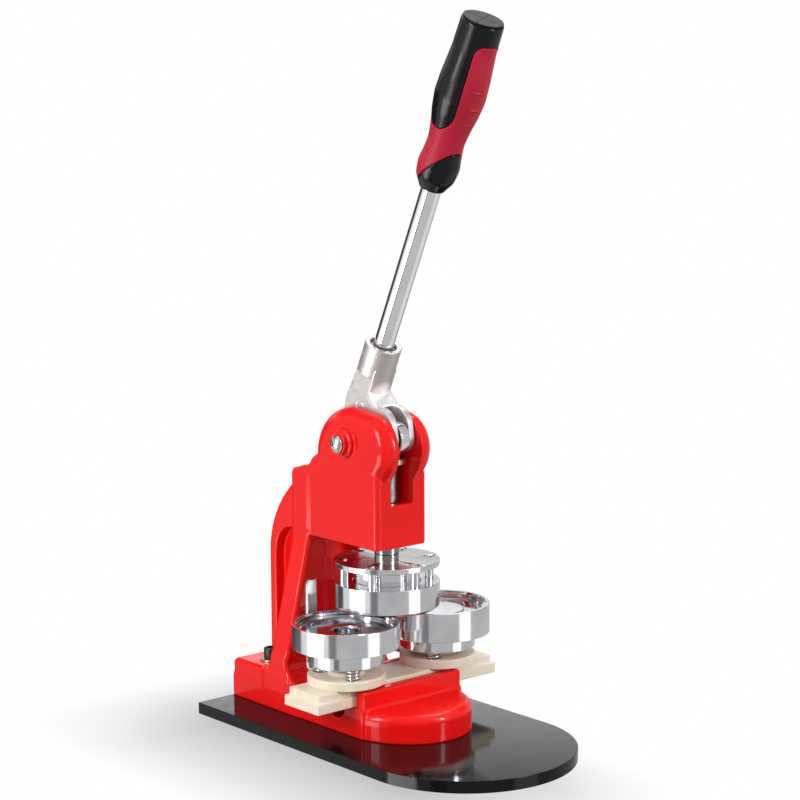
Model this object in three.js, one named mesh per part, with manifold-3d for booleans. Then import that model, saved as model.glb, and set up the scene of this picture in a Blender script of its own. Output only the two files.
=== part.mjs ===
// Two-die button badge press: a cast frame on a board, a hand lever whose roller pushes a guided ram,
// a round upper die with a floating ring, and a sliding plate that carries two sprung lower dies.
// Millimetres. +X is the operator's right, +Y the rear, +Z up. The origin is on the board's underside,
// below the ram's axis.
import * as THREE from 'three';
import { mergeVertices } from 'three/addons/utils/BufferGeometryUtils.js';
import Module from 'manifold-3d';

const wasm = await Module();
wasm.setup();

// ---- driving dimensions ----
const gap = 0.3; // clearance between pieces that touch or run in each other
const through = 1; // how far a cutting tool runs past the face it cuts

const board = { halfWidth: 83, thickness: 9, rear: 130.5, straightTo: -87 };
const base = { halfWidth: 49.4, rear: 130.4, frontTop: 30.2, frontEdge: 6 };
const front = { centre: -18, reach: 55 };
const channel = { floor: 31.7, halfWidth: 20.5, top: 45, grooveRadius: 8.5, grooveCentre: 28.5 };
const fence = { halfWidth: 47.6, thickness: 9.5, top: 44.5 };
const rail = { halfWidth: 45, thickness: 7.5 };
const rearBlock = { front: 62.5, top: 39, cornerRadius: 4 };
const column = { front: 62.5, rear: 83, topHalfWidth: 25, topZ: 146, footHalfWidth: 49, footZ: 50 };
const spine = { halfWidth: 12, webHalf: 4, rear: 130 };
const head = { halfWidth: 24.6, front: -18.3, bottom: 145, cornerRadius: 7 };
const ear = { inner: 11, sill: 177.7, rearSill: 205, edgeRadius: 10.9 };
const earLobe = [-1.9, 219.1, 26.6]; // y, z, radius
const earCrown = [19.4, 209.9, 38.5];
const pivot = { y: 18.8, z: 222.5, shaftRadius: 6, bossRadius: 11.2, bossFace: 32 };
const roller = { y: -10, z: 227, radius: 13, bore: 5, width: 8 };
const ramRadius = 9.2;
const ramTop = 206.9;
const ramHead = { top: 211.4, radius: 16, flat: 10.5 };
const ramCollar = { low: 174.6, high: 176.8 };
const spring = { floor: 152, radius: 10.15, wire: 1.2, turns: 5 };
const lever = { tilt: 24.6, mouthY: 1.8, mouthZ: 296.3, socketRadius: 14, socketBore: 10, rodRadius: 7.6 };
const cheek = { outer: 10.4, inner: 5, slotRadius: 15.6, flatsBelow: 24, socketDepth: 42 };
const grip = { start: 129.9, length: 130, skin: 2, band: 14.5 }; // along the lever from the socket's mouth
const upper = { radius: 40, discBottom: 130, discTop: 134, plungerRadius: 25, plungerBottom: 109.3 };
const upperRing = { bottom: 97.3, lip: 99.5, top: 117.6, bore: 25.6, hollowRadius: 35 };
const guide = { count: 6, circle: 32.5, radius: 3.2, bottom: 110 };
const slider = { left: -83.3, right: 93.4, halfWidth: 20, bottom: 32, step: 40, top: 46, inset: 2.3 };
const die = { radius: 40.3, baseRadius: 29, floor: 85.6 };
const dieHeights = {
  left: { rim: 91.6, ringBottom: 73.8, baseBottom: 61.4 },
  right: { rim: 91.9, ringBottom: 69.4, baseBottom: 58.4 },
};
const dieCentre = { left: -40.2, right: 50.7 };
const seat = { radius: 29.25, top: 53, bossRadius: 13.8, bossTop: 56 };
const dieTravel = 5;
const dieSpring = { circle: 20, radius: 4.5, wire: 1.8, bottom: 48, top: 64, pocket: 5.8 };
const firstSpringAngle = { left: 5, right: -20 };
const stem = { radius: 4.1, headRadius: 6.5, headHeight: 4, belowRing: 4.8 };
const bar = { halfWidth: 4.65, thickness: 2.5, front: 43, foot: 27.3, top: 116 };
const barCentre = { left: -37.9, right: 46 };
const rearBolt = { x: 29.5, y: 105, radius: 4, headRadius: 6.5, headHeight: 8 };
const rearWasher = { radius: 9.5, thickness: 1.6 };
const nutPocket = { radius: 8.2, depth: 6 };
const frontScrew = { x: 30, y: -30, radius: 3.9, headRadius: 7.5, recess: 4.6 };

// ---- materials ----
function finish(color, roughness, metalness) {
  return new THREE.MeshStandardMaterial({ color, roughness, metalness });
}
const redPaint = finish(0xe01c14, 0.3, 0);
const blackBoard = finish(0x17171a, 0.15, 0);
const machined = finish(0xb9bbbf, 0.35, 1);
const steel = finish(0x8f9196, 0.3, 1);
const chrome = finish(0xd8dade, 0.08, 1);
const castGrey = finish(0x9a9794, 0.6, 0.8);
const zinc = finish(0xc9c0aa, 0.4, 1);
const blackOxide = finish(0x1b1b1d, 0.4, 0.6);
const blackPlastic = finish(0x1a1a1c, 0.4, 0);
const crimsonRubber = finish(0xbf2444, 0.55, 0);
const ivoryPlastic = finish(0xe9dfca, 0.45, 0);

// ---- shapes ----
function block(x0, x1, y0, y1, z0, z1) {
  const shape = new THREE.BoxGeometry(x1 - x0, y1 - y0, z1 - z0);
  return shape.translate((x0 + x1) / 2, (y0 + y1) / 2, (z0 + z1) / 2);
}

// A turned piece about +Z from [radius, z] points. A profile that leaves the axis closes on itself.
function turned(profile, sides = 28) {
  const points = profile.map(([radius, z]) => new THREE.Vector2(radius, z));
  if (profile[0][0] > 0) points.push(points[0].clone());
  return new THREE.LatheGeometry(points, sides).rotateX(Math.PI / 2);
}

function disc(radius, z0, z1, sides = 28) {
  return turned([[0, z0], [radius, z0], [radius, z1], [0, z1]], sides);
}

function washer(outer, inner, z0, z1, sides = 28) {
  return turned([[inner, z0], [outer, z0], [outer, z1], [inner, z1]], sides);
}

function hexagon(acrossFlats, z0, z1) {
  return disc(acrossFlats / Math.sqrt(3), z0, z1, 6);
}

// Turns a piece made along +Z so that its length lies along +X.
function alongX(shape) {
  return shape.rotateY(Math.PI / 2);
}

function crossRod(radius, x0, x1, y, z, sides = 18) {
  return alongX(disc(radius, x0, x1, sides)).translate(0, y, z);
}

function extruded(outline, depth, curveSegments = 12) {
  return new THREE.ExtrudeGeometry(outline, { depth, bevelEnabled: false, curveSegments });
}

// A plan outline in X and Y, raised from z0 to z1.
function raised(outline, z0, z1, curveSegments) {
  return extruded(outline, z1 - z0, curveSegments).translate(0, 0, z0);
}

// A side outline in Y and Z, carried across from x0 to x1.
function across(outline, x0, x1, curveSegments) {
  const axes = new THREE.Matrix4().makeBasis(
    new THREE.Vector3(0, 1, 0),
    new THREE.Vector3(0, 0, 1),
    new THREE.Vector3(1, 0, 0),
  );
  return extruded(outline, x1 - x0, curveSegments).applyMatrix4(axes).translate(x0, 0, 0);
}

// A front outline in X and Z, carried back from y0 to y1.
function backwards(outline, y0, y1, curveSegments) {
  return extruded(outline, y1 - y0, curveSegments).rotateX(Math.PI / 2).translate(0, y1, 0);
}

function polygon(points) {
  return new THREE.Shape(points.map(([u, v]) => new THREE.Vector2(u, v)));
}

// The convex outline round circles given as [u, v, radius].
function roundHull(circles, steps = 32) {
  const points = [];
  for (const [u, v, radius] of circles) {
    for (let i = 0; i < steps; i += 1) {
      const angle = (2 * Math.PI * i) / steps;
      points.push([u + radius * Math.cos(angle), v + radius * Math.sin(angle)]);
    }
  }
  points.sort((a, b) => a[0] - b[0] || a[1] - b[1]);
  const turn = (a, b, c) => (b[0] - a[0]) * (c[1] - a[1]) - (b[1] - a[1]) * (c[0] - a[0]);
  const half = (list) => {
    const kept = [];
    for (const point of list) {
      while (kept.length > 1 && turn(kept.at(-2), kept.at(-1), point) < 1e-3) kept.pop();
      kept.push(point);
    }
    return kept.slice(0, -1);
  };
  return polygon([...half(points), ...half(points.reverse())]);
}

// Places spaced evenly round a circle.
function aroundCircle(count, radius, firstAngle) {
  return Array.from({ length: count }, (_, i) => {
    const angle = firstAngle + (2 * Math.PI * i) / count;
    return [radius * Math.cos(angle), radius * Math.sin(angle)];
  });
}

// A slab across X with round edges. Its convex outline runs round circles given as [y, z, radius], and the
// stations are [x, inset of the outline at that x].
function roundedSlab(circles, stations, steps = 36) {
  const directions = aroundCircle(steps, 1, Math.PI / steps);
  const places = stations.flatMap(([x, inset]) => directions.flatMap(([u, v]) => {
    const reach = circles.map(([y, z, radius]) => y * u + z * v + radius);
    const [y, z, radius] = circles[reach.indexOf(Math.max(...reach))];
    return [x, y + (radius - inset) * u, z + (radius - inset) * v];
  }));
  const corners = [];
  const last = (stations.length - 1) * steps;
  for (let i = 0; i < steps; i += 1) {
    const next = (i + 1) % steps;
    corners.push(0, next, i, last, last + i, last + next);
    for (let low = 0; low < last; low += steps) {
      const high = low + steps;
      corners.push(low + i, low + next, high + next, low + i, high + next, high + i);
    }
  }
  const shape = new THREE.BufferGeometry();
  shape.setAttribute('position', new THREE.Float32BufferAttribute(places, 3));
  return shape.setIndex(corners);
}

// A coil spring of square wire about +Z, with its centre line's ends at z0 and z1.
function coil(radius, wire, z0, z1, turns, stepsPerTurn = 7) {
  class Helix extends THREE.Curve {
    getPoint(t) {
      const angle = 2 * Math.PI * turns * t;
      return new THREE.Vector3(radius * Math.cos(angle), radius * Math.sin(angle), z0 + (z1 - z0) * t);
    }
  }
  const section = polygon(aroundCircle(4, wire / 2, 0));
  const steps = Math.round(turns * stepsPerTurn);
  return new THREE.ExtrudeGeometry(section, { steps, extrudePath: new Helix() });
}

function roundCorner(outline, from, corner, to, radius) {
  const towards = (a, b) => new THREE.Vector2(b[0] - a[0], b[1] - a[1]).normalize().multiplyScalar(radius);
  const start = towards(corner, from);
  const end = towards(corner, to);
  outline.lineTo(corner[0] + start.x, corner[1] + start.y);
  outline.quadraticCurveTo(corner[0], corner[1], corner[0] + end.x, corner[1] + end.y);
}

function roundedPolygon(points, radius) {
  const outline = new THREE.Shape();
  const count = points.length;
  outline.moveTo((points[0][0] + points[count - 1][0]) / 2, (points[0][1] + points[count - 1][1]) / 2);
  points.forEach((corner, i) => {
    roundCorner(outline, points[(i + count - 1) % count], corner, points[(i + 1) % count], radius);
  });
  outline.closePath();
  return outline;
}

// ---- joining and cutting ----
function volume(points, corners) {
  const [a, b, c] = [new THREE.Vector3(), new THREE.Vector3(), new THREE.Vector3()];
  let total = 0;
  for (let i = 0; i < corners.length; i += 3) {
    a.fromBufferAttribute(points, corners[i]);
    b.fromBufferAttribute(points, corners[i + 1]);
    c.fromBufferAttribute(points, corners[i + 2]);
    total += a.dot(b.cross(c));
  }
  return total;
}

function toSolid(shape) {
  const bare = shape.clone();
  bare.deleteAttribute('normal');
  bare.deleteAttribute('uv');
  const welded = mergeVertices(bare, 1e-4);
  const index = welded.index.array;
  const corners = [];
  for (let i = 0; i < index.length; i += 3) {
    const [a, b, c] = [index[i], index[i + 1], index[i + 2]];
    if (a !== b && b !== c && c !== a) corners.push(a, b, c);
  }
  if (volume(welded.attributes.position, corners) < 0) corners.reverse();
  return new wasm.Manifold(new wasm.Mesh({
    numProp: 3,
    vertProperties: new Float32Array(welded.attributes.position.array),
    triVerts: new Uint32Array(corners),
  }));
}

function toGeometry(solid) {
  const mesh = solid.getMesh();
  const shape = new THREE.BufferGeometry();
  shape.setAttribute('position', new THREE.BufferAttribute(new Float32Array(mesh.vertProperties), 3));
  shape.setIndex(new THREE.BufferAttribute(new Uint32Array(mesh.triVerts), 1));
  return shape;
}

function join(first, ...others) {
  return toGeometry(others.reduce((sum, shape) => sum.add(toSolid(shape)), toSolid(first)));
}

function cut(body, ...tools) {
  return toGeometry(tools.reduce((rest, shape) => rest.subtract(toSolid(shape)), toSolid(body)));
}

function common(first, ...others) {
  return toGeometry(others.reduce((rest, shape) => rest.intersect(toSolid(shape)), toSolid(first)));
}

// ---- the tree of groups and named meshes ----
const press = new THREE.Group();

function add(name, shape, material, parent = press) {
  const mesh = new THREE.Mesh(join(shape), material);
  mesh.name = name;
  parent.add(mesh);
  return mesh;
}

const sides = [['left', -1], ['right', 1]];

// ---- base board ----
function baseBoard() {
  const outline = new THREE.Shape();
  outline.moveTo(-board.halfWidth, board.rear);
  outline.lineTo(-board.halfWidth, board.straightTo);
  outline.absarc(0, board.straightTo, board.halfWidth, Math.PI, 2 * Math.PI, false);
  outline.lineTo(board.halfWidth, board.rear);
  outline.closePath();
  const holes = [];
  for (const [, side] of sides) {
    const bolt = [side * rearBolt.x, rearBolt.y, 0];
    holes.push(disc(rearBolt.radius + gap, -through, board.thickness + through, 12).translate(...bolt));
    holes.push(disc(nutPocket.radius, -through, nutPocket.depth, 16).translate(...bolt));
    const screw = [side * frontScrew.x, frontScrew.y, 0];
    holes.push(disc(frontScrew.radius + gap, -through, board.thickness + through, 12).translate(...screw));
    holes.push(disc(frontScrew.headRadius + gap, -through, frontScrew.recess, 16).translate(...screw));
  }
  return cut(raised(outline, 0, board.thickness, 16), ...holes);
}

// ---- frame casting ----
function castFront() {
  const { halfWidth, frontTop, frontEdge } = base;
  const chamfer = frontEdge * (1 - Math.SQRT1_2);
  const nose = turned([
    [0, board.thickness],
    [halfWidth, board.thickness],
    [halfWidth, frontTop - frontEdge],
    [halfWidth - chamfer, frontTop - chamfer],
    [halfWidth - frontEdge, frontTop],
    [0, frontTop],
  ], 36);
  return nose.scale(1, front.reach / halfWidth, 1).translate(0, front.centre, 0);
}

function castBase() {
  const fenceFront = -channel.halfWidth - fence.thickness;
  const railRear = channel.halfWidth + rail.thickness;
  const lift = board.thickness;
  return join(
    castFront(),
    block(-base.halfWidth, base.halfWidth, fenceFront, rearBlock.front + through, lift, channel.floor),
    block(-fence.halfWidth, fence.halfWidth, fenceFront, -channel.halfWidth, lift, fence.top),
    block(-rail.halfWidth, rail.halfWidth, channel.halfWidth, railRear, lift, channel.top),
    castRearBlock(),
  );
}

function castRearBlock() {
  const low = board.thickness;
  const outline = roundedPolygon([
    [rearBlock.front, low - 20],
    [base.rear, low - 20],
    [base.rear, rearBlock.top],
    [rearBlock.front, rearBlock.top],
  ], rearBlock.cornerRadius);
  const bar = across(outline, -base.halfWidth, base.halfWidth, 4);
  const room = block(-60, 60, rearBlock.front - through, base.rear + through, low, rearBlock.top + through);
  return common(bar, room);
}

// The column is a slab seen from the side and a taper seen from the front, with its foot flared both ways.
function castColumn() {
  const frontFoot = 17.6;
  const rearFoot = 8;
  const sideTop = 192;
  const flareStart = channel.floor + 8;
  const side = new THREE.Shape();
  side.moveTo(column.front - frontFoot, channel.floor);
  side.absarc(column.front - frontFoot, channel.floor + frontFoot, frontFoot, -Math.PI / 2, 0, false);
  side.lineTo(column.front, sideTop);
  side.lineTo(column.rear, sideTop);
  side.lineTo(column.rear, rearBlock.top + rearFoot);
  side.absarc(column.rear + rearFoot, rearBlock.top + rearFoot, rearFoot, Math.PI, 1.5 * Math.PI, false);
  side.lineTo(column.rear + rearFoot, board.thickness);
  side.lineTo(column.front - frontFoot, board.thickness);
  side.closePath();
  const taper = new THREE.Shape();
  taper.moveTo(-base.halfWidth, board.thickness);
  taper.lineTo(base.halfWidth, board.thickness);
  taper.lineTo(base.halfWidth, flareStart);
  taper.lineTo(column.footHalfWidth - 0.5, column.footZ);
  taper.lineTo(column.topHalfWidth, column.topZ);
  taper.lineTo(column.topHalfWidth, sideTop + through);
  taper.lineTo(-column.topHalfWidth, sideTop + through);
  taper.lineTo(-column.topHalfWidth, column.topZ);
  taper.lineTo(-column.footHalfWidth + 0.5, column.footZ);
  taper.lineTo(-base.halfWidth, flareStart);
  taper.closePath();
  return common(across(side, -60, 60, 6), backwards(taper, 20, 100));
}

function castSpine() {
  const outline = new THREE.Shape();
  outline.moveTo(column.rear - through, rearBlock.top - 5);
  outline.lineTo(spine.rear, rearBlock.top - 5);
  outline.lineTo(spine.rear, 120);
  outline.bezierCurveTo(spine.rear, 148, 112, 175, column.rear - through, 191);
  outline.closePath();
  return across(outline, -spine.halfWidth, spine.halfWidth, 10);
}

function spinePocket(x0, x1) {
  const [front, rear, low, high] = [88, 121, 50, 128];
  const outline = new THREE.Shape();
  outline.moveTo(front, low);
  outline.lineTo(rear, low);
  outline.lineTo(rear, 120);
  outline.quadraticCurveTo(119, 141, 103, 143);
  outline.quadraticCurveTo(front, 143, front, high);
  outline.closePath();
  return across(outline, x0, x1, 5);
}

function castHead() {
  const top = 206;
  const side = new THREE.Shape();
  side.moveTo(head.front, head.bottom);
  side.lineTo(column.rear, head.bottom);
  side.lineTo(column.rear, 191);
  side.quadraticCurveTo(80, 196, 70, 198.5);
  side.quadraticCurveTo(63, 199, 61, 203);
  side.quadraticCurveTo(57, 208.5, 50, 211);
  side.lineTo(earLobe[0], top);
  side.lineTo(head.front, 200.5);
  side.closePath();
  const plan = roundedPolygon([
    [-head.halfWidth, head.front],
    [head.halfWidth, head.front],
    [head.halfWidth, 140],
    [-head.halfWidth, 140],
  ], head.cornerRadius);
  return common(across(side, -head.halfWidth, head.halfWidth, 4), raised(plan, 100, 260, 4));
}

// An ear is flat towards the slot and well rounded on its outer edge.
function castEar(side) {
  const softened = 0.8;
  const flatEnd = head.halfWidth - ear.edgeRadius;
  const stations = [[side * ear.inner, softened], [side * (ear.inner + softened), 0]];
  for (let i = 0; i <= 4; i += 1) {
    const angle = (i * Math.PI) / 8;
    const x = flatEnd + ear.edgeRadius * Math.sin(angle);
    stations.push([side * x, ear.edgeRadius * (1 - Math.cos(angle))]);
  }
  return roundedSlab([earLobe, earCrown], stations);
}

function pivotBoss(side) {
  const shoulder = head.halfWidth + 3.5;
  const noseRadius = 8.6;
  const wide = crossRod(pivot.bossRadius, head.halfWidth - through, shoulder, pivot.y, pivot.z, 24);
  const narrow = crossRod(noseRadius, head.halfWidth - through, pivot.bossFace, pivot.y, pivot.z, 24);
  const boss = join(wide, narrow);
  return side > 0 ? boss : boss.rotateZ(Math.PI).translate(0, 2 * pivot.y, 0);
}

function castCuts() {
  const low = board.thickness;
  const groove = roundHull([
    [0, channel.grooveCentre, channel.grooveRadius],
    [0, channel.grooveCentre + 20, channel.grooveRadius],
  ], 20);
  const panel = polygon([[-43.4, 50], [43.4, 50], [20.5, 138], [-20.5, 138]]);
  const cuts = [
    across(groove, -60, 60),
    backwards(panel, column.front - 40, column.front + 12),
    spinePocket(spine.webHalf, 20),
    spinePocket(-20, -spine.webHalf),
    block(-ear.inner, ear.inner, -60, 17.5, ear.sill, 300),
    block(-ear.inner, ear.inner, 10, 40, ear.rearSill, 300),
    disc(ramRadius + gap, head.bottom - through, ear.sill + through),
    disc(ear.inner, spring.floor, ear.sill + through),
    crossRod(pivot.shaftRadius + gap, -60, 60, pivot.y, pivot.z),
    disc(2.5, 24, channel.floor + through, 12).translate(0, -13, 0),
  ];
  for (const [, side] of sides) {
    const boltHole = disc(rearBolt.radius + gap, low - through, 60, 16);
    const screwHole = disc(frontScrew.radius + gap, low - through, 24.5, 16);
    cuts.push(boltHole.translate(side * rearBolt.x, rearBolt.y, 0));
    cuts.push(screwHole.translate(side * frontScrew.x, frontScrew.y, 0));
  }
  return cuts;
}

function frameCasting() {
  const body = join(
    castBase(),
    castColumn(),
    castSpine(),
    castHead(),
    castEar(-1),
    castEar(1),
    pivotBoss(-1),
    pivotBoss(1),
  );
  return cut(body, ...castCuts());
}

// ---- fasteners of the frame ----
function capScrew() {
  const seatZ = rearBlock.top + rearWasher.thickness;
  const shank = disc(rearBolt.radius, 1.2, seatZ + through, 12);
  const cap = disc(rearBolt.headRadius, seatZ, seatZ + rearBolt.headHeight, 20);
  const socket = hexagon(6, seatZ + 3.5, seatZ + rearBolt.headHeight + through);
  return cut(join(shank, cap), socket);
}

function frontScrewShape() {
  const profile = [
    [0, 0.4],
    [frontScrew.headRadius, 0.4],
    [frontScrew.headRadius, 1],
    [frontScrew.radius, 4.4],
    [frontScrew.radius, 24],
    [0, 24],
  ];
  return cut(turned(profile, 12), hexagon(5, -through, 2.6));
}

function frameFasteners() {
  for (const [name, side] of sides) {
    const place = [side * rearBolt.x, rearBolt.y, 0];
    const washerTop = rearBlock.top + rearWasher.thickness;
    add(`${name}_rear_bolt`, capScrew(), blackOxide).position.set(...place);
    const ring = washer(rearWasher.radius, rearBolt.radius + gap, rearBlock.top, washerTop, 20);
    add(`${name}_rear_washer`, ring, zinc).position.set(...place);
    const nut = cut(hexagon(13, 0.6, 5.8), disc(rearBolt.radius + gap, 0, 7, 12));
    add(`${name}_rear_nut`, nut, blackOxide).position.set(...place);
    const screw = add(`${name}_front_screw`, frontScrewShape(), blackOxide);
    screw.position.set(side * frontScrew.x, frontScrew.y, 0);
  }
}

function pivotScrew() {
  const face = pivot.bossFace;
  const dome = turned([[0, 0], [6.6, 0], [6.6, 1.4], [5.2, 3], [0, 3.8]], 14);
  const thread = disc(2.6, -9, through, 8);
  const cross = [block(-0.6, 0.6, -3, 3, 2, 5), block(-3, 3, -0.6, 0.6, 2, 5)];
  return alongX(cut(join(dome, thread), ...cross)).translate(face, 0, 0);
}

function pivotPieces() {
  const reach = pivot.bossFace - gap;
  const shaft = crossRod(pivot.shaftRadius, -reach, reach, 0, 0);
  const taps = [crossRod(2.9, reach - 10, 40, 0, 0, 10), crossRod(2.9, -40, 10 - reach, 0, 0, 10)];
  add('pivot_shaft', cut(shaft, ...taps), steel).position.set(0, pivot.y, pivot.z);
  for (const [name, side] of sides) {
    const screw = add(`${name}_pivot_screw`, pivotScrew(), zinc);
    screw.position.set(0, pivot.y, pivot.z);
    if (side < 0) screw.rotation.z = Math.PI;
  }
}

// ---- lever: made upright about the socket's axis, then tilted to its rest position ----
const leverTilt = THREE.MathUtils.degToRad(lever.tilt);
const leverGroup = new THREE.Group();
leverGroup.position.set(0, lever.mouthY, lever.mouthZ);
leverGroup.rotation.x = leverTilt;
press.add(leverGroup);

// Brings a shape from the press's frame into the lever's own upright frame.
function intoLever(shape) {
  return shape.translate(0, -lever.mouthY, -lever.mouthZ).rotateX(-leverTilt);
}

// Side outlines of the fork below the socket, as polygons in Y and Z.
const forkBlock = [[-1, 277], [20, 278.6], [33.5, 256], [36.5, 245], [35, 236], [15, 236], [6.5, 260]];
const forkShoulder = [[6.5, 260], [-3, 250.2], [10, 240], [20, 250]];
const forkLobes = [
  [-4, 234.4, 15.8],
  [roller.y, roller.z, 11],
  [pivot.y + 1.7, pivot.z + 2, 11],
  [22, 240, 13.5],
];

function leverFork() {
  const { outer } = cheek;
  return join(
    across(polygon(forkBlock), -outer, outer),
    across(polygon(forkShoulder), -outer, outer),
    across(roundHull(forkLobes, 28), -outer, outer),
  );
}

// The room for the roller between the cheeks, open to the front, above and below.
function rollerSlot() {
  const { inner, slotRadius } = cheek;
  const rear = roller.y + slotRadius;
  const upperRear = 2.5;
  const upperStart = roller.z + Math.sqrt(slotRadius ** 2 - (upperRear - roller.y) ** 2);
  const [ahead, below, above] = [-60, 190, 262];
  const shoulderFoot = { y: -3.2, z: 250.4 };
  const open = polygon([
    [ahead, below],
    [rear, below],
    [rear, roller.z],
    [upperRear, upperStart],
    [upperRear, 245.5],
    [shoulderFoot.y, shoulderFoot.z],
    [shoulderFoot.y, above],
    [ahead, above],
  ]);
  return join(
    across(open, -inner, inner),
    crossRod(slotRadius, -inner, inner, roller.y, roller.z, 32),
  );
}

function leverHead() {
  const { outer, flatsBelow, socketDepth } = cheek;
  const round = disc(lever.socketRadius, -flatsBelow, 0);
  const flatted = common(
    disc(lever.socketRadius, -socketDepth, through - flatsBelow),
    block(-outer, outer, -30, 30, -60, 30),
  );
  return cut(
    join(round, flatted, intoLever(leverFork())),
    intoLever(rollerSlot()),
    disc(lever.socketBore, -4, through, 20),
    disc(lever.rodRadius + gap, -40, 0, 20),
    intoLever(crossRod(pivot.shaftRadius + gap, -20, 20, pivot.y, pivot.z)),
    intoLever(crossRod(roller.bore + gap, -20, 20, roller.y, roller.z)),
  );
}

function leverRod() {
  return disc(lever.rodRadius, -39, grip.start + 60, 24);
}

// The grip's radius along its length, from its top (0) to its nose.
const gripProfile = [
  [15.2, 0.6],
  [15.8, 22],
  [18, 45],
  [18.5, 58],
  [17, 70],
  [14.9, 80],
  [13.3, 92],
  [14, 101],
  [15.6, 111],
  [14.4, 120.5],
  [8.6, grip.length],
];

function gripSolid(inset) {
  const top = grip.start + grip.length;
  const bottomUp = [...gripProfile].reverse().map(([radius, down]) => [radius - inset, top - down]);
  return turned([[0, bottomUp[0][1]], ...bottomUp, [0, bottomUp.at(-1)[1]]], 18);
}

// The rubber lies between two side panels, a band below the cap and the nose, which is higher in front.
function rubberRegion() {
  const top = grip.start + grip.length;
  const column = block(-30, 30, -30, 30, grip.start - 5, top - grip.band);
  const panel = { radius: 13.4, side: 16, low: grip.start + 48 };
  const panels = sides.map(([, side]) => (
    disc(panel.radius, panel.low, top + 10, 24).translate(side * panel.side, 0, 0)
  ));
  const noseSlope = 0.9;
  const nose = block(-40, 40, -40, 40, -22, 0).rotateX(-noseSlope).translate(0, 0, grip.start + 13.6);
  return cut(column, ...panels, nose);
}

function leverPieces() {
  const bore = disc(lever.rodRadius + gap, 0, grip.start + 60.3, 16);
  const full = gripSolid(0);
  const rubber = common(cut(full, gripSolid(grip.skin)), rubberRegion());
  const core = cut(full, bore, common(cut(gripSolid(-1), gripSolid(grip.skin + 0.1)), rubberRegion()));
  const capOutline = turned([[0, 0], [14.2, 0], [14.2, 1], [13.6, 1.6], [0, 1.6]], 28);
  add('lever_head', leverHead(), castGrey, leverGroup);
  add('lever_rod', leverRod(), chrome, leverGroup);
  add('grip_core', core, blackPlastic, leverGroup);
  add('grip_sleeve', rubber, crimsonRubber, leverGroup);
  const cap = add('grip_end_cap', capOutline, blackPlastic, leverGroup);
  cap.position.z = grip.start + grip.length - 0.6 + 0.1;
}

// ---- roller ----
function rollerPieces() {
  const half = roller.width / 2;
  const place = [0, roller.y, roller.z];
  const ballCircle = 9;
  const balls = 6;
  const outer = cut(washer(roller.radius, 10.6, -half, half, 28), ballTrack(ballCircle, 2.3));
  const inner = cut(washer(7.4, roller.bore + 0.1, -half, half, 20), ballTrack(ballCircle, 2.3));
  const cage = join(
    washer(9.5, 8.5, -0.8, 0.8, 12),
    ...Array.from({ length: balls }, (_, i) => {
      const angle = (2 * Math.PI * i) / balls;
      const ball = new THREE.SphereGeometry(1.9, 6, 4);
      return ball.translate(ballCircle * Math.cos(angle), ballCircle * Math.sin(angle), 0);
    }),
  );
  add('roller_outer_ring', alongX(outer), machined).position.set(...place);
  add('roller_inner_ring', alongX(inner), steel).position.set(...place);
  add('roller_ball_cage', alongX(cage), steel).position.set(...place);
  const pin = disc(roller.bore, -cheek.outer + 0.2, cheek.outer - 0.2, 20);
  add('roller_pin', alongX(pin), steel).position.set(...place);
}

// The ring-shaped groove that the bearing's balls run in.
function ballTrack(circle, radius) {
  return new THREE.TorusGeometry(circle, radius, 6, 18);
}

// ---- ram ----
function ramPieces() {
  const groove = 8.2;
  const spigot = { radius: 6, height: 2.4 };
  const profile = [
    [0, upper.discTop + 4.3],
    [ramRadius, upper.discTop + 4.3],
    [ramRadius, ramCollar.low],
    [groove, ramCollar.low],
    [groove, ramCollar.high],
    [ramRadius, ramCollar.high],
    [ramRadius, ramTop],
    [spigot.radius, ramTop],
    [spigot.radius, ramTop + spigot.height],
    [0, ramTop + spigot.height],
  ];
  const socket = disc(5.3, upper.discTop, 151, 14);
  add('ram', cut(turned(profile, 24), socket), steel);
  const puck = common(
    disc(ramHead.radius, ramTop + gap, ramHead.top),
    block(-ramHead.flat, ramHead.flat, -20, 20, 200, 220),
  );
  const spigotHole = disc(spigot.radius + gap, 200, ramTop + spigot.height + gap, 16);
  add('ram_head', cut(puck, spigotHole), zinc);
  add('ram_collar', washer(10.7, groove + gap, ramCollar.low + 0.1, ramCollar.high - 0.1, 20), steel);
  const low = spring.floor + spring.wire / 2 + 0.2;
  const high = ramCollar.low - spring.wire / 2 - 0.2;
  add('ram_return_spring', coil(spring.radius, spring.wire, low, high, spring.turns, 14), steel);
}

// ---- upper die ----
const guidePlaces = aroundCircle(guide.count, guide.circle, Math.PI / 6);

function upperDisc() {
  const { radius, discBottom, discTop } = upper;
  const profile = [
    [0, discBottom],
    [radius, discBottom],
    [radius, discTop - 0.6],
    [radius - 0.6, discTop],
    [ramRadius, discTop],
    [ramRadius, discTop + 4],
    [5, discTop + 4],
    [5, 150],
    [0, 150],
  ];
  const holes = guidePlaces.flatMap(([x, y]) => [
    disc(3, discBottom - through, discTop + through, 8).translate(x, y, 0),
    disc(4.3, discTop - 2.2, discTop + through, 8).translate(x, y, 0),
  ]);
  return cut(turned(profile, 32), disc(6.3, discBottom - through, discBottom + 3.3, 12), ...holes);
}

function guidePost() {
  const { discBottom, discTop } = upper;
  const profile = [
    [0, guide.bottom],
    [guide.radius, guide.bottom],
    [guide.radius, discBottom],
    [2.6, discBottom],
    [2.6, discTop - 2],
    [3.8, discTop - 2],
    [3.8, discTop],
    [0, discTop],
  ];
  return cut(turned(profile, 8), hexagon(3.4, discTop - 1.4, discTop + through));
}

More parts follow.
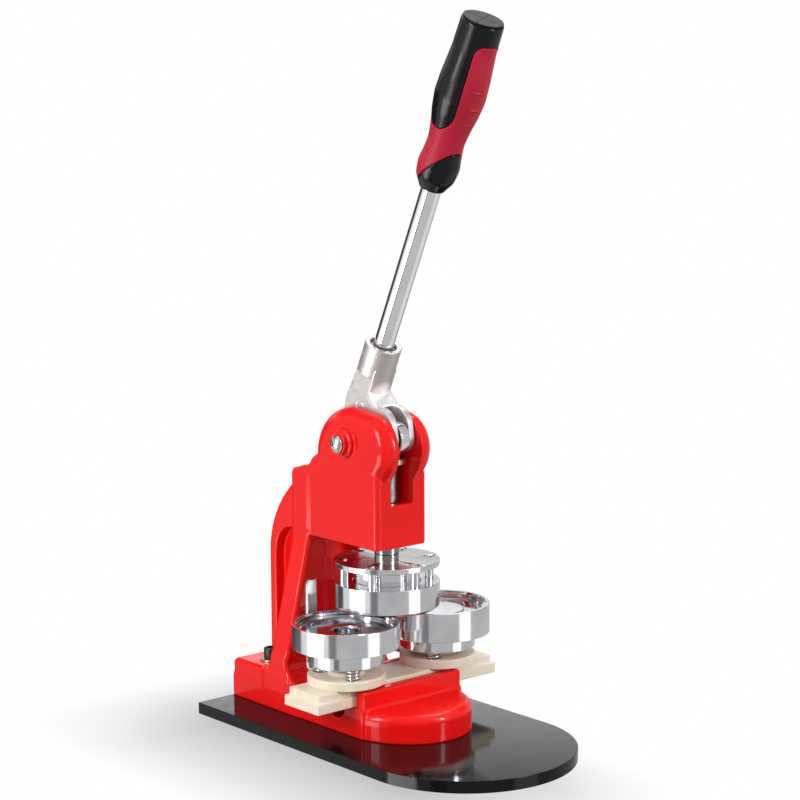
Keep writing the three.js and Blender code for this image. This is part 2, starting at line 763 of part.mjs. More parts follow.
function upperPlunger() {
  const { plungerRadius, plungerBottom, discBottom } = upper;
  return turned([
    [0, plungerBottom + 3.5],
    [18, plungerBottom + 3.5],
    [18.5, plungerBottom],
    [plungerRadius - 0.6, plungerBottom],
    [plungerRadius, plungerBottom + 0.6],
    [plungerRadius, discBottom],
    [6, discBottom],
    [6, discBottom + 3],
    [0, discBottom + 3],
  ], 28);
}

function floatingRing() {
  const { bottom, lip, top, bore, hollowRadius } = upperRing;
  const { radius } = upper;
  const body = turned([
    [bore, bottom + 5.7],
    [hollowRadius, bottom + 5.7],
    [hollowRadius + 0.5, bottom],
    [37.4, bottom],
    [radius, lip],
    [radius, top - 0.6],
    [radius - 0.6, top],
    [bore, top],
  ], 32);
  const holes = guidePlaces.map(([x, y]) => disc(guide.radius + 0.5, 90, 130, 8).translate(x, y, 0));
  const pinHole = disc(3.4, 36.6, 45, 12).rotateX(-Math.PI / 2).translate(0, 0, 108);
  return cut(body, ...holes, pinHole);
}

function upperDiePieces() {
  add('upper_die_disc', upperDisc(), machined);
  guidePlaces.forEach(([x, y], i) => {
    add(`upper_guide_post_${i + 1}`, guidePost(), steel).position.set(x, y, 0);
  });
  add('upper_plunger', upperPlunger(), machined);
  add('upper_ring', floatingRing(), machined);
  const pin = disc(3, 37, 50, 12).rotateX(-Math.PI / 2);
  add('turn_pin', pin, steel).position.z = 108;
}

// ---- slider and what stands on it ----
function springPlaces(name) {
  return aroundCircle(3, dieSpring.circle, THREE.MathUtils.degToRad(firstSpringAngle[name]));
}

function roundedBar(x0, x1, y0, y1, z0, z1, radius) {
  return raised(roundedPolygon([[x0, y0], [x1, y0], [x1, y1], [x0, y1]], radius), z0, z1, 4);
}

function sliderPlate() {
  const { left, right, halfWidth, bottom, step, top, inset } = slider;
  const plate = join(
    roundedBar(left, right, -halfWidth, halfWidth, bottom, step, 2),
    roundedBar(left + inset, right - inset, inset - halfWidth, halfWidth - inset, bottom, top, 2),
  );
  const stopSlot = roundedBar(
    dieCentre.left - 3,
    dieCentre.right + 3,
    -15.7,
    -10.3,
    bottom - through,
    bottom + 5.4,
    2.5,
  );
  const holes = Object.values(dieCentre).map((x) => disc(stem.radius + 0.4, 20, 60, 14).translate(x, 0, 0));
  return cut(plate, stopSlot, ...holes);
}

function dieSeat(name) {
  const body = turned([
    [0, slider.top],
    [seat.radius, slider.top],
    [seat.radius, seat.top - 0.8],
    [seat.radius - 0.8, seat.top],
    [seat.bossRadius, seat.top],
    [seat.bossRadius, seat.bossTop],
    [0, seat.bossTop],
  ]);
  const pockets = springPlaces(name).map(([x, y]) => (
    disc(dieSpring.pocket, dieSpring.bottom - gap, 60, 10).translate(x, y, 0)
  ));
  const middle = barCentre[name] - dieCentre[name];
  const reach = bar.halfWidth + gap;
  const strapTop = slider.top + bar.thickness + gap;
  const strapSlot = block(middle - reach, middle + reach, bar.foot - gap, 40, 40, strapTop);
  return cut(body, disc(stem.radius + 0.4, 40, 60, 14), ...pockets, strapSlot);
}

// A flat strap that lies on the slider behind the seat, crosses the rear rail and turns up.
function turnBar() {
  const rear = bar.front + bar.thickness;
  const low = slider.top + 0.05;
  const side = polygon([
    [bar.foot, low],
    [rear, low],
    [rear, bar.top],
    [bar.front, bar.top],
    [bar.front, low + bar.thickness],
    [bar.foot, low + bar.thickness],
  ]);
  const face = polygon([
    [-bar.halfWidth, 40],
    [bar.halfWidth, 40],
    [bar.halfWidth, bar.top],
    [2.5 - bar.halfWidth, bar.top],
    [-bar.halfWidth, bar.top - 3],
  ]);
  return common(across(side, -10, 10), backwards(face, 20, 50));
}

function sliderPieces() {
  add('slider', sliderPlate(), ivoryPlastic);
  add('slider_stop_pin', disc(2.2, 24.5, slider.bottom + 4.6, 12), steel).position.y = -13;
  for (const [name] of sides) {
    add(`${name}_die_seat`, dieSeat(name), ivoryPlastic).position.x = dieCentre[name];
    add(`${name}_turn_bar`, turnBar(), machined).position.x = barCentre[name];
  }
}

// ---- lower dies ----
function dieRing(name) {
  const { radius, floor } = die;
  const { rim, ringBottom } = dieHeights[name];
  const plateBottom = floor - 4.3;
  return turned([
    [12, ringBottom],
    [radius, ringBottom],
    [radius, rim - 0.6],
    [radius - 0.6, rim],
    [37.8, rim],
    [37.4, rim - 1.8],
    [36.2, rim - 1.9],
    [36.2, rim - 3.6],
    [35, rim - 3.7],
    [35, rim - 5.2],
    [34, rim - 5.3],
    [34, plateBottom],
    [12, plateBottom],
  ], 32);
}

function stemTop(name) {
  return dieHeights[name].ringBottom - stem.belowRing;
}

// The hollow below clears the seat's boss when the die is pushed down.
function dieBase(name) {
  const { baseBottom, ringBottom } = dieHeights[name];
  const body = disc(die.baseRadius, baseBottom, ringBottom, 28);
  const pockets = springPlaces(name).map(([x, y]) => (
    disc(dieSpring.pocket, 50, dieSpring.top + gap, 10).translate(x, y, 0)
  ));
  const bossRoom = disc(seat.bossRadius + 4 * gap, 50, seat.bossTop + dieTravel + gap);
  return cut(body, disc(stem.radius + gap, 50, stemTop(name) + gap, 14), bossRoom, ...pockets);
}

function dieStem(name) {
  const top = stemTop(name);
  const low = slider.bottom - gap - stem.headHeight;
  const profile = [
    [0, low],
    [stem.headRadius - 0.5, low],
    [stem.headRadius, low + 0.5],
    [stem.headRadius, slider.bottom - gap],
    [stem.radius, slider.bottom - gap],
    [stem.radius, top],
    [0, top],
  ];
  return cut(turned(profile, 14), hexagon(5, low - through, low + 2.2));
}

// The left floor is a ring round a hole; the right one carries a low round pad.
const floorPlates = {
  left: [[9.4, 0], [33.7, 0], [33.7, 4.2], [11.6, 4.2], [11.2, 3.6], [9.4, 3.6]],
  right: [[0, 0], [33.7, 0], [33.7, 4.2], [20.5, 4.2], [20, 5.6], [0, 5.6]],
};

function lowerDie(name) {
  const place = new THREE.Group();
  place.position.x = dieCentre[name];
  press.add(place);
  add(`${name}_die_ring`, dieRing(name), machined, place);
  add(`${name}_die_base`, dieBase(name), machined, place);
  const plate = turned(floorPlates[name], 28).translate(0, 0, die.floor - 4.2);
  add(`${name}_die_plate`, plate, machined, place);
  add(`${name}_die_stem`, dieStem(name), steel, place);
  const half = dieSpring.wire / 2;
  springPlaces(name).forEach(([x, y], i) => {
    const shape = coil(dieSpring.radius, dieSpring.wire, dieSpring.bottom + half, dieSpring.top - half, 4);
    add(`${name}_die_spring_${i + 1}`, shape, steel, place).position.set(x, y, 0);
  });
}

// ---- the press ----
add('base_board', baseBoard(), blackBoard);
add('frame_casting', frameCasting(), redPaint);
frameFasteners();
pivotPieces();
leverPieces();
rollerPieces();
ramPieces();
upperDiePieces();
sliderPieces();
lowerDie('left');
lowerDie('right');

export default press;
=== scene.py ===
"""A two-die button badge press on a pale floor.

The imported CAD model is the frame. Castings and moulded pieces are made here as fields of signed
distances with rounded joins, turned pieces as bevelled profiles, and springs as helices.
Lengths are millimetres in the shape code and metres in Blender. +X is the operator's right,
+Y the rear and +Z up, as in the CAD model.
"""
import math

import bpy
import bmesh
import numpy as np
from mathutils import Matrix, Vector


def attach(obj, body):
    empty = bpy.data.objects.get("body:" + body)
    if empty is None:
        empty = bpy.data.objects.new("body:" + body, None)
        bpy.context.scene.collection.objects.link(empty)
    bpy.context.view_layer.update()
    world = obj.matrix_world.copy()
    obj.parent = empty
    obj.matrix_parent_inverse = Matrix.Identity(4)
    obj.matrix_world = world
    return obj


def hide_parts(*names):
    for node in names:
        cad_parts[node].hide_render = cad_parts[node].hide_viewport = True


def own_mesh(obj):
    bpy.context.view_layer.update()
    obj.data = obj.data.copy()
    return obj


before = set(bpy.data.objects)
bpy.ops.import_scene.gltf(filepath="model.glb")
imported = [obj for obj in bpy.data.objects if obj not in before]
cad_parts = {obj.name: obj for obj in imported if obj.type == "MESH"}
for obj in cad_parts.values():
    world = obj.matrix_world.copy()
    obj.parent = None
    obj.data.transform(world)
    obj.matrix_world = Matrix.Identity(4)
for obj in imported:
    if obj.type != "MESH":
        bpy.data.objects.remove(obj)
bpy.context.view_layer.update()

MM = 0.001
SIDES = (("left", -1), ("right", 1))
scene = bpy.context.scene


# ---- outlines: closed lists of (u, v) points ----
def rounded(points, radius, steps=5):
    """The outline with every corner turned into an arc. radius is one number, or one for each corner."""
    radii = radius if isinstance(radius, (list, tuple)) else [radius] * len(points)
    made = []
    for i, (corner, r) in enumerate(zip(points, radii)):
        here = Vector(corner)
        before = Vector(points[i - 1]) - here
        after = Vector(points[(i + 1) % len(points)]) - here
        angle = before.angle(after)
        if r < 1e-6 or angle > math.pi - 1e-3:
            made.append(tuple(here))
            continue
        run = min(r / math.tan(angle / 2), 0.49 * before.length, 0.49 * after.length)
        r = run * math.tan(angle / 2)
        middle = (before.normalized() + after.normalized()).normalized()
        centre = here + middle * (r / math.sin(angle / 2))
        start = here + before.normalized() * run - centre
        end = here + after.normalized() * run - centre
        sweep = start.angle_signed(end)
        for k in range(steps + 1):
            turn = -sweep * k / steps
            spun = Matrix.Rotation(turn, 2) @ start
            made.append(tuple(centre + spun))
    return made


def arc(centre, radius, first, last, steps=16, flat=1.0):
    """Points on an arc, its angles in degrees. flat squeezes it along v."""
    angles = np.radians(np.linspace(first, last, steps + 1))
    return [(centre[0] + radius * math.cos(a), centre[1] + flat * radius * math.sin(a)) for a in angles]


def rectangle(u0, u1, v0, v1):
    return [(u0, v0), (u1, v0), (u1, v1), (u0, v1)]


def curve(*pulls, steps=8):
    """Points after the first on a curve to the last, which those between pull towards themselves."""
    order = len(pulls) - 1
    made = []
    for k in range(1, steps + 1):
        t = k / steps
        weights = [math.comb(order, i) * (1 - t) ** (order - i) * t ** i for i in range(order + 1)]
        made.append(tuple(sum(w * p[i] for w, p in zip(weights, pulls)) for i in (0, 1)))
    return made


# ---- fields of signed distances, negative inside ----
class Grid:
    """Sample places on three axes, shaped so that numpy spreads them over the whole volume."""

    def __init__(self, low, high, fine, coarse):
        step = fine
        counts = [int(math.ceil((b - a) / step)) + 1 for a, b in zip(low, high)]
        axes = [a + step * np.arange(n, dtype=np.float32) for a, n in zip(low, counts)]
        self.low, self.step = np.array(low, dtype=np.float32), step
        self.x, self.y, self.z = axes[0][:, None, None], axes[1][None, :, None], axes[2][None, None, :]


def outline(points, u, v):
    """Distance to a closed outline in two coordinates."""
    best = np.full(np.broadcast(u, v).shape, 1e9, np.float32)
    inside = np.zeros(best.shape, bool)
    for (au, av), (bu, bv) in zip(points, points[1:] + points[:1]):
        eu, ev = bu - au, bv - av
        if eu * eu + ev * ev < 1e-12:
            continue
        du, dv = u - au, v - av
        t = np.clip((du * eu + dv * ev) / (eu * eu + ev * ev), 0, 1)
        best = np.minimum(best, np.hypot(du - t * eu, dv - t * ev))
        if ev:
            inside ^= ((av > v) != (bv > v)) & (du < eu * dv / ev)
    return np.where(inside, -best, best)


def slab(t, low, high):
    return np.maximum(low - t, t - high)


def circle(u, v, centre, radius):
    return np.hypot(u - centre[0], v - centre[1]) - radius


def two_circles(u, v, one, other):
    """Distance to the hull round two circles, each (u, v, radius)."""
    du, dv = other[0] - one[0], other[1] - one[1]
    length = math.hypot(du, dv)
    along = ((u - one[0]) * du + (v - one[1]) * dv) / length
    off = np.abs((u - one[0]) * dv - (v - one[1]) * du) / length
    lean = (one[2] - other[2]) / length
    level = math.sqrt(1 - lean * lean)
    k = level * along - lean * off
    near = np.hypot(along, off) - one[2]
    far = np.hypot(along - length, off) - other[2]
    side = lean * along + level * off - one[2]
    return np.where(k < 0, near, np.where(k > level * length, far, side))


def both(a, b, r=0):
    """Where both fields are solid, with the edge between them rounded."""
    return np.minimum(-r, np.maximum(a, b)) + np.hypot(np.maximum(r + a, 0), np.maximum(r + b, 0))


def either(a, b, r=0):
    """Where one of the fields is solid, with a fillet between them."""
    return np.maximum(r, np.minimum(a, b)) - np.hypot(np.maximum(r - a, 0), np.maximum(r - b, 0))


def without(a, b, r=0):
    return both(a, -b, r)


def block(g, x, y, z, r=0):
    return both(both(slab(g.x, *x), slab(g.y, *y), r), slab(g.z, *z), r)


def skin(grid, field):
    """Vertices and quads of the field's surface: one vertex in each cell that the surface crosses."""
    inside = field < 0
    cells_shape = np.array(field.shape) - 1
    corners = np.array([(i, j, k) for i in (0, 1) for j in (0, 1) for k in (0, 1)])
    count = np.zeros(cells_shape, np.uint8)
    for c in corners:
        count += inside[c[0]:, c[1]:, c[2]:][:cells_shape[0], :cells_shape[1], :cells_shape[2]]
    cells = np.argwhere((count > 0) & (count < 8))
    values = np.stack([field[tuple((cells + c).T)] for c in corners], 1)
    total, hits = np.zeros((len(cells), 3)), np.zeros(len(cells))
    for a in range(8):
        for b in range(a + 1, 8):
            if np.abs(corners[a] - corners[b]).sum() != 1:
                continue
            hit = (values[:, a] < 0) != (values[:, b] < 0)
            t = values[hit, a] / (values[hit, a] - values[hit, b])
            total[hit] += corners[a] + t[:, None] * (corners[b] - corners[a])
            hits[hit] += 1
    places = cells + total / hits[:, None]
    index = np.full(cells_shape, -1, np.int64)
    index[tuple(cells.T)] = np.arange(len(cells))
    quads = []
    for axis in range(3):
        ahead = np.roll(inside, -1, axis)
        ahead[tuple(slice(-1, None) if i == axis else slice(None) for i in range(3))] = False
        crossed = inside != ahead
        crossed[tuple(slice(-1, None) if i == axis else slice(None) for i in range(3))] = False
        edges = np.argwhere(crossed)
        u, v = np.eye(3, dtype=int)[(axis + 1) % 3], np.eye(3, dtype=int)[(axis + 2) % 3]
        ring = np.stack([index[tuple((edges - s).T)] for s in (u + v, v, 0 * u, u)], 1)
        outward = inside[tuple(edges.T)]
        ring[~outward] = ring[~outward, ::-1]
        quads.append(ring)
    return settle(grid, field, places), np.concatenate(quads)


def sample(field, places):
    """The field between its samples, at places in cells."""
    base = np.clip(np.floor(places).astype(int), 0, np.array(field.shape) - 2)
    part = places - base
    value = 0
    for i in (0, 1):
        for j in (0, 1):
            for k in (0, 1):
                weight = np.abs(1 - np.array((i, j, k)) - part).prod(1)
                value = value + weight * field[base[:, 0] + i, base[:, 1] + j, base[:, 2] + k]
    return value


def slope(field, places):
    """The field's outward direction, not scaled to length 1."""
    sides = [sample(field, places + s) - sample(field, places - s) for s in 0.7 * np.eye(3)]
    return np.stack(sides, 1)


def settle(grid, field, places, rounds=3):
    """Moves the vertices onto the surface and gives them and their normals, in millimetres."""
    for _ in range(rounds):
        way = slope(field, places)
        way /= np.maximum(np.linalg.norm(way, axis=1), 1e-6)[:, None]
        step = np.clip(sample(field, places) / grid.step, -0.5, 0.5)
        places = places - way * step[:, None]
    way = slope(field, places)
    way /= np.maximum(np.linalg.norm(way, axis=1), 1e-6)[:, None]
    return grid.low + places * grid.step, way


# ---- Blender objects ----
def put(name, mesh, finish, body, nodes=()):
    """A piece of the object: it rides on a body, and may stand for CAD nodes."""
    piece = bpy.data.objects.new(name, mesh)
    scene.collection.objects.link(piece)
    mesh.materials.append(finish.material)
    mesh.polygons.foreach_set("use_smooth", [True] * len(mesh.polygons))
    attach(piece, body)
    if nodes:
        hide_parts(*nodes)
    return piece


def new_mesh(name, places, faces):
    mesh = bpy.data.meshes.new(name)
    mesh.from_pydata([tuple(p) for p in places], [], [tuple(int(i) for i in f) for f in faces])
    mesh.update()
    return mesh


def faced_outward(mesh):
    faces = bmesh.new()
    faces.from_mesh(mesh)
    bmesh.ops.recalc_face_normals(faces, faces=faces.faces)
    faces.to_mesh(mesh)
    faces.free()
    return mesh


def moulded(name, grid, field, finish, body, nodes=(), place=None):
    """A piece made from a field. place moves it, as a 4x4 matrix in millimetres."""
    (places, normals), quads = skin(grid, field.astype(np.float32))
    if place is not None:
        turn, shift = np.array(place.to_3x3()), np.array(place.translation)
        places, normals = places @ turn.T + shift, normals @ turn.T
    mesh = new_mesh(name, places * MM, quads)
    put(name, mesh, finish, body, nodes)
    mesh.normals_split_custom_set_from_vertices([tuple(n) for n in normals])


def lathe_mesh(name, profile, edge=0.3, sides=128, centre=(0, 0), steps=3):
    """A turned mesh about +Z. profile is (radius, z) points. Corners off the axis are rounded to edge."""
    radii = [0 if r < 1e-6 else edge for r, _ in profile]
    points = rounded(profile, radii, steps)
    closed = profile[0][0] > 1e-6
    angles = np.linspace(0, 2 * math.pi, sides, endpoint=False)
    places, rings = [], []
    for r, z in points:
        if r < 1e-6:
            rings.append([len(places)] * sides)
            places.append((centre[0] * MM, centre[1] * MM, z * MM))
            continue
        rings.append(list(range(len(places), len(places) + sides)))
        for a in angles:
            x, y = centre[0] + r * math.cos(a), centre[1] + r * math.sin(a)
            places.append((x * MM, y * MM, z * MM))
    pairs = list(zip(rings, rings[1:] + rings[:1])) if closed else list(zip(rings, rings[1:]))
    faces = []
    for low, high in pairs:
        for i in range(sides):
            j = (i + 1) % sides
            face = list(dict.fromkeys((low[i], low[j], high[j], high[i])))
            if len(face) > 2:
                faces.append(face)
    return faced_outward(new_mesh(name, places, faces))


def bore(radius, z0, z1, centre, sides=32):
    """A plain cylinder to cut with. Six sides give a hexagon socket."""
    return lathe_mesh("bore", rectangle(0, radius, z0, z1), 0, sides, centre)


def flat_shading(piece):
    """Keeps wide faces flat next to their small bevels."""
    piece.modifiers.new("even_normals", "WEIGHTED_NORMAL").keep_sharp = True


def turned(name, profile, finish, body, nodes=(), edge=0.3, sides=128, centre=(0, 0), turn=None):
    mesh = lathe_mesh(name, profile, edge, sides, centre)
    if turn is not None:
        mesh.transform(turn)
    piece = put(name, mesh, finish, body, nodes)
    flat_shading(piece)
    return piece


def cut_by(piece, cutters):
    """Cuts meshes out of a piece and applies the cuts."""
    for mesh in cutters:
        tool = bpy.data.objects.new("cutter", mesh)
        scene.collection.objects.link(tool)
        cut = piece.modifiers.new("cut", "BOOLEAN")
        cut.operation, cut.solver, cut.object = "DIFFERENCE", "EXACT", tool
        piece.modifiers.move(len(piece.modifiers) - 1, 0)
        graph = bpy.context.evaluated_depsgraph_get()
        for other in piece.modifiers:
            other.show_viewport = other == cut
        made = bpy.data.meshes.new_from_object(piece.evaluated_get(graph), depsgraph=graph)
        piece.modifiers.remove(cut)
        piece.data = made
        for other in piece.modifiers:
            other.show_viewport = True
        bpy.data.objects.remove(tool)
    piece.data.polygons.foreach_set("use_smooth", [True] * len(piece.data.polygons))
    piece.data.set_sharp_from_angle(angle=math.radians(40))


def helix(name, centre, radius, wire, z0, z1, turns, finish, body, nodes):
    """A compression spring with closed ends: its pitch is tight in the first and last turn."""
    steps, around = 40, 12
    t = np.linspace(0, turns, int(turns * steps) + 1)
    closed = 0.9
    loose = np.clip((t - closed) / (turns - 2 * closed), 0, 1)
    low, high = z0 + wire / 2, z1 - wire / 2
    ends = wire * (np.minimum(t, closed) + np.clip(closed - (turns - t), 0, closed))
    z = low + ends + (high - low - 2 * closed * wire) * loose
    angle = 2 * math.pi * t
    line = np.stack([centre[0] + radius * np.cos(angle), centre[1] + radius * np.sin(angle), z], 1)
    ahead = np.gradient(line, axis=0)
    ahead /= np.linalg.norm(ahead, axis=1)[:, None]
    outward = np.stack([np.cos(angle), np.sin(angle), 0 * angle], 1)
    across = np.cross(ahead, outward)
    places, faces = [], []
    for k in range(around):
        a = 2 * math.pi * k / around
        places.append(line + wire / 2 * (math.cos(a) * outward + math.sin(a) * across))
    places = np.stack(places, 1)
    count = len(t)
    for i in range(count - 1):
        for k in range(around):
            j = (k + 1) % around
            faces.append((i * around + k, i * around + j, (i + 1) * around + j, (i + 1) * around + k))
    faces.append(tuple(range(around))[::-1])
    faces.append(tuple((count - 1) * around + k for k in range(around)))
    mesh = faced_outward(new_mesh(name, places.reshape(-1, 3) * MM, faces))
    return put(name, mesh, finish, body, nodes)


# ---- materials ----
EVEN = (1, 1, 1)


class Finish:
    """A Principled material, with short ways to add nodes to it."""

    def __init__(self, name, color, roughness, metallic=0.0, **sockets):
        self.material = bpy.data.materials.new(name)
        self.material.use_nodes = True
        self.tree = self.material.node_tree
        self.shader = self.tree.nodes["Principled BSDF"]
        self.shader.inputs["Base Color"].default_value = (*color, 1)
        self.shader.inputs["Roughness"].default_value = roughness
        self.shader.inputs["Metallic"].default_value = metallic
        for socket, value in sockets.items():
            self.shader.inputs[socket.replace("_", " ")].default_value = value
        self.color = color
        self.height = None

    def node(self, kind, **settings):
        made = self.tree.nodes.new(kind)
        for key, value in settings.items():
            if key in made.inputs:
                made.inputs[key].default_value = value
            else:
                setattr(made, key, value)
        return made

    def join(self, source, target):
        self.tree.links.new(source, target)

    def places(self, stretch=EVEN, shift=(0, 0, 0)):
        """Object coordinates in millimetres."""
        coordinates = self.node("ShaderNodeTexCoord")
        mapping = self.node("ShaderNodeMapping")
        mapping.inputs["Scale"].default_value = [s / MM for s in stretch]
        mapping.inputs["Location"].default_value = [-s * k for s, k in zip(shift, stretch)]
        self.join(coordinates.outputs["Object"], mapping.inputs["Vector"])
        return mapping.outputs["Vector"]

    def noise(self, size, detail, stretch=EVEN, roughness=0.5):
        """Noise with features about size millimetres across."""
        made = self.node("ShaderNodeTexNoise", Scale=1 / size, Detail=detail, Roughness=roughness)
        self.join(self.places(stretch), made.inputs["Vector"])
        return made.outputs["Fac"]

    def rings(self, centre, size, axis="Z"):
        """Noise that depends only on the distance from an axis, as turning marks do."""
        across = {"Z": (1, 1, 0), "X": (0, 1, 1)}[axis]
        length = self.node("ShaderNodeVectorMath", operation="LENGTH")
        self.join(self.places(across, centre), length.inputs[0])
        made = self.node("ShaderNodeTexNoise", noise_dimensions="1D", Scale=1.0, Detail=3.0)
        scaled = self.node("ShaderNodeMath", operation="MULTIPLY")
        scaled.inputs[1].default_value = 1 / size
        self.join(length.outputs["Value"], scaled.inputs[0])
        self.join(scaled.outputs["Value"], made.inputs["W"])
        return made.outputs["Fac"]

    def scaled(self, value, low, high, start=0.3, end=0.7):
        """value from start..end, spread to low..high. value is a socket, or what noise() takes."""
        if isinstance(value, tuple):
            value = self.noise(*value)
        made = self.node("ShaderNodeMapRange")
        for key, number in (("From Min", start), ("From Max", end), ("To Min", low), ("To Max", high)):
            made.inputs[key].default_value = number
        self.join(value, made.inputs["Value"])
        return made.outputs["Result"]

    def tint(self, value, other, start=0.35, end=0.65):
        """Base colour goes from the finish's own to other as value rises."""
        mix = self.node("ShaderNodeMix", data_type="RGBA")
        mix.inputs["A"].default_value = (*self.color, 1)
        mix.inputs["B"].default_value = (*other, 1)
        source = self.shader.inputs["Base Color"]
        if source.is_linked:
            self.join(source.links[0].from_socket, mix.inputs["A"])
        self.join(self.scaled(value, 0, 1, start, end), mix.inputs["Factor"])
        self.join(mix.outputs["Result"], source)
        return self

    def gloss(self, value, low, high):
        self.join(self.scaled(value, low, high), self.shader.inputs["Roughness"])
        return self

    def bump(self, value, depth):
        """Adds relief that is depth millimetres deep."""
        made = self.node("ShaderNodeBump", Strength=1.0, Distance=depth * MM)
        height = self.noise(*value) if isinstance(value, tuple) else value
        self.join(height, made.inputs["Height"])
        if self.height is not None:
            self.join(self.height, made.inputs["Normal"])
        self.height = made.outputs["Normal"]
        self.join(self.height, self.shader.inputs["Normal"])
        return self

    def product(self, one, other):
        made = self.node("ShaderNodeMath", operation="MULTIPLY")
        self.join(one, made.inputs[0])
        self.join(other, made.inputs[1])
        return made.outputs[0]


def machined(name, centre=(0, 0, 0), axis="Z"):
    """Turned steel: fine grooves round an axis, which draw reflections out across them."""
    f = Finish(name, (0.79, 0.795, 0.82), 0.2, 1.0, Anisotropic=0.5, Anisotropic_Rotation=0.25)
    f.join(f.node("ShaderNodeTangent", direction_type="RADIAL", axis=axis).outputs["Tangent"],
           f.shader.inputs["Tangent"])
    f.tint((16, 3), (0.70, 0.705, 0.73)).gloss(f.rings(centre, 0.5, axis), 0.08, 0.17)
    return f.bump(f.rings(centre, 0.35, axis), 0.006).bump((0.25, 2, (1, 1, 6)), 0.002)


def zinc_casting():
    """Tumbled zinc, which is paler on the shoulder between the socket and the cheeks."""
    f = Finish("tumbled_zinc_casting", (0.53, 0.505, 0.495), 0.40, 0.8)
    f.tint((2.6, 5, EVEN, 0.7), (0.42, 0.40, 0.395), 0.5, 0.8)
    away = f.node("ShaderNodeVectorMath", operation="LENGTH")
    f.join(f.places(shift=(0, 1, 256)), away.inputs[0])
    f.tint(away.outputs["Value"], (0.93, 0.91, 0.92), 13, 9)
    return f.gloss((2, 4), 0.34, 0.55).bump((0.7, 4, EVEN, 0.6), 0.05).bump((6, 3), 0.12)


def crimson_rubber():
    """A soft overlay with a dark parting line down its middle."""
    f = Finish("grip_crimson", (0.40, 0.007, 0.024), 0.46, Specular_IOR_Level=0.3)
    f.tint((18, 3), (0.47, 0.010, 0.034)).gloss((3, 3), 0.42, 0.58).bump((0.5, 2), 0.012)
    side = f.node("ShaderNodeSeparateXYZ")
    f.join(f.places(), side.inputs[0])
    off = f.node("ShaderNodeMath", operation="ABSOLUTE")
    f.join(side.outputs["X"], off.inputs[0])
    return f.tint(off.outputs[0], (0.22, 0.004, 0.012), 0.32, 0.16)


paint = Finish("red_enamel", (0.84, 0.006, 0.005), 0.4, Coat_Weight=0.35, Coat_Roughness=0.03,
               Specular_IOR_Level=0.1)
paint.tint((35, 3), (0.78, 0.005, 0.005)).gloss((9, 3), 0.28, 0.38)
paint.bump((2.4, 2), 0.012).bump((11, 2), 0.04)

strap_steel = Finish("strap_steel", (0.60, 0.61, 0.60), 0.3, 1.0)
strap_steel.tint((7, 4, (1, 1, 0.4)), (0.50, 0.52, 0.49)).bump((0.5, 3, (1, 1, 0.1)), 0.008)

post_steel = Finish("ground_steel", (0.62, 0.62, 0.63), 0.16, 1.0).gloss((3, 3), 0.12, 0.22)
polished = Finish("polished_steel", (0.74, 0.745, 0.77), 0.06, 1.0).gloss((4, 3), 0.04, 0.09)

weld = Finish("socket_weld", (0.30, 0.29, 0.28), 0.45, 0.9)
weld.tint((1.2, 4), (0.14, 0.13, 0.13)).bump((0.9, 3), 0.25)

gloss_board = Finish("black_gloss_board", (0.004, 0.004, 0.005), 0.08, Specular_IOR_Level=0.17)
gloss_board.tint((0.9, 4, EVEN, 0.7), (0.03, 0.03, 0.032), 0.68, 0.76)
gloss_board.gloss((14, 3), 0.05, 0.11).bump((20, 2), 0.02)

steel = Finish("bright_steel", (0.36, 0.345, 0.33), 0.25, 1.0)
steel.tint((5, 3), (0.25, 0.235, 0.22)).gloss((3, 3), 0.16, 0.30).bump((0.4, 2), 0.003)

plated = Finish("chrome_plate", (0.88, 0.875, 0.89), 0.04, 1.0)
plated.gloss((12, 3, (1, 1, 0.15)), 0.03, 0.07).tint((25, 2), (0.82, 0.82, 0.84))

rough_cast = zinc_casting()

zinc = Finish("zinc_plate", (0.70, 0.63, 0.50), 0.28, 1.0)
zinc.tint((2.5, 4), (0.58, 0.50, 0.38)).gloss((1.2, 3), 0.2, 0.36).bump((0.5, 3), 0.01)

nickel = Finish("screw_nickel", (0.66, 0.66, 0.60), 0.22, 1.0)
nickel.tint((2.0, 4), (0.42, 0.44, 0.38)).bump((0.5, 3), 0.01)

oxide = Finish("black_oxide", (0.018, 0.018, 0.020), 0.34, 0.5).gloss((0.8, 3), 0.26, 0.48)
oxide.tint((1.5, 4), (0.05, 0.05, 0.052), 0.5, 0.8).bump((0.4, 3), 0.012)

black = Finish("grip_black", (0.003, 0.003, 0.004), 0.2, Specular_IOR_Level=0.26)
black.gloss((0.8, 3), 0.16, 0.26).bump((0.55, 2), 0.012)
black.tint((0.7, 3, EVEN, 0.7), (0.02, 0.02, 0.022), 0.6, 0.8)

cap_black = Finish("grip_cap_black", (0.006, 0.006, 0.007), 0.5, Specular_IOR_Level=0.15)
cap_black.bump((0.55, 2), 0.01)

crimson = crimson_rubber()

ivory = Finish("ivory_plastic", (0.84, 0.76, 0.64), 0.34, Subsurface_Weight=0.12,
               Subsurface_Scale=0.002)
ivory.tint((14, 4), (0.80, 0.69, 0.53)).gloss((5, 3), 0.3, 0.44).bump((0.8, 3), 0.012)


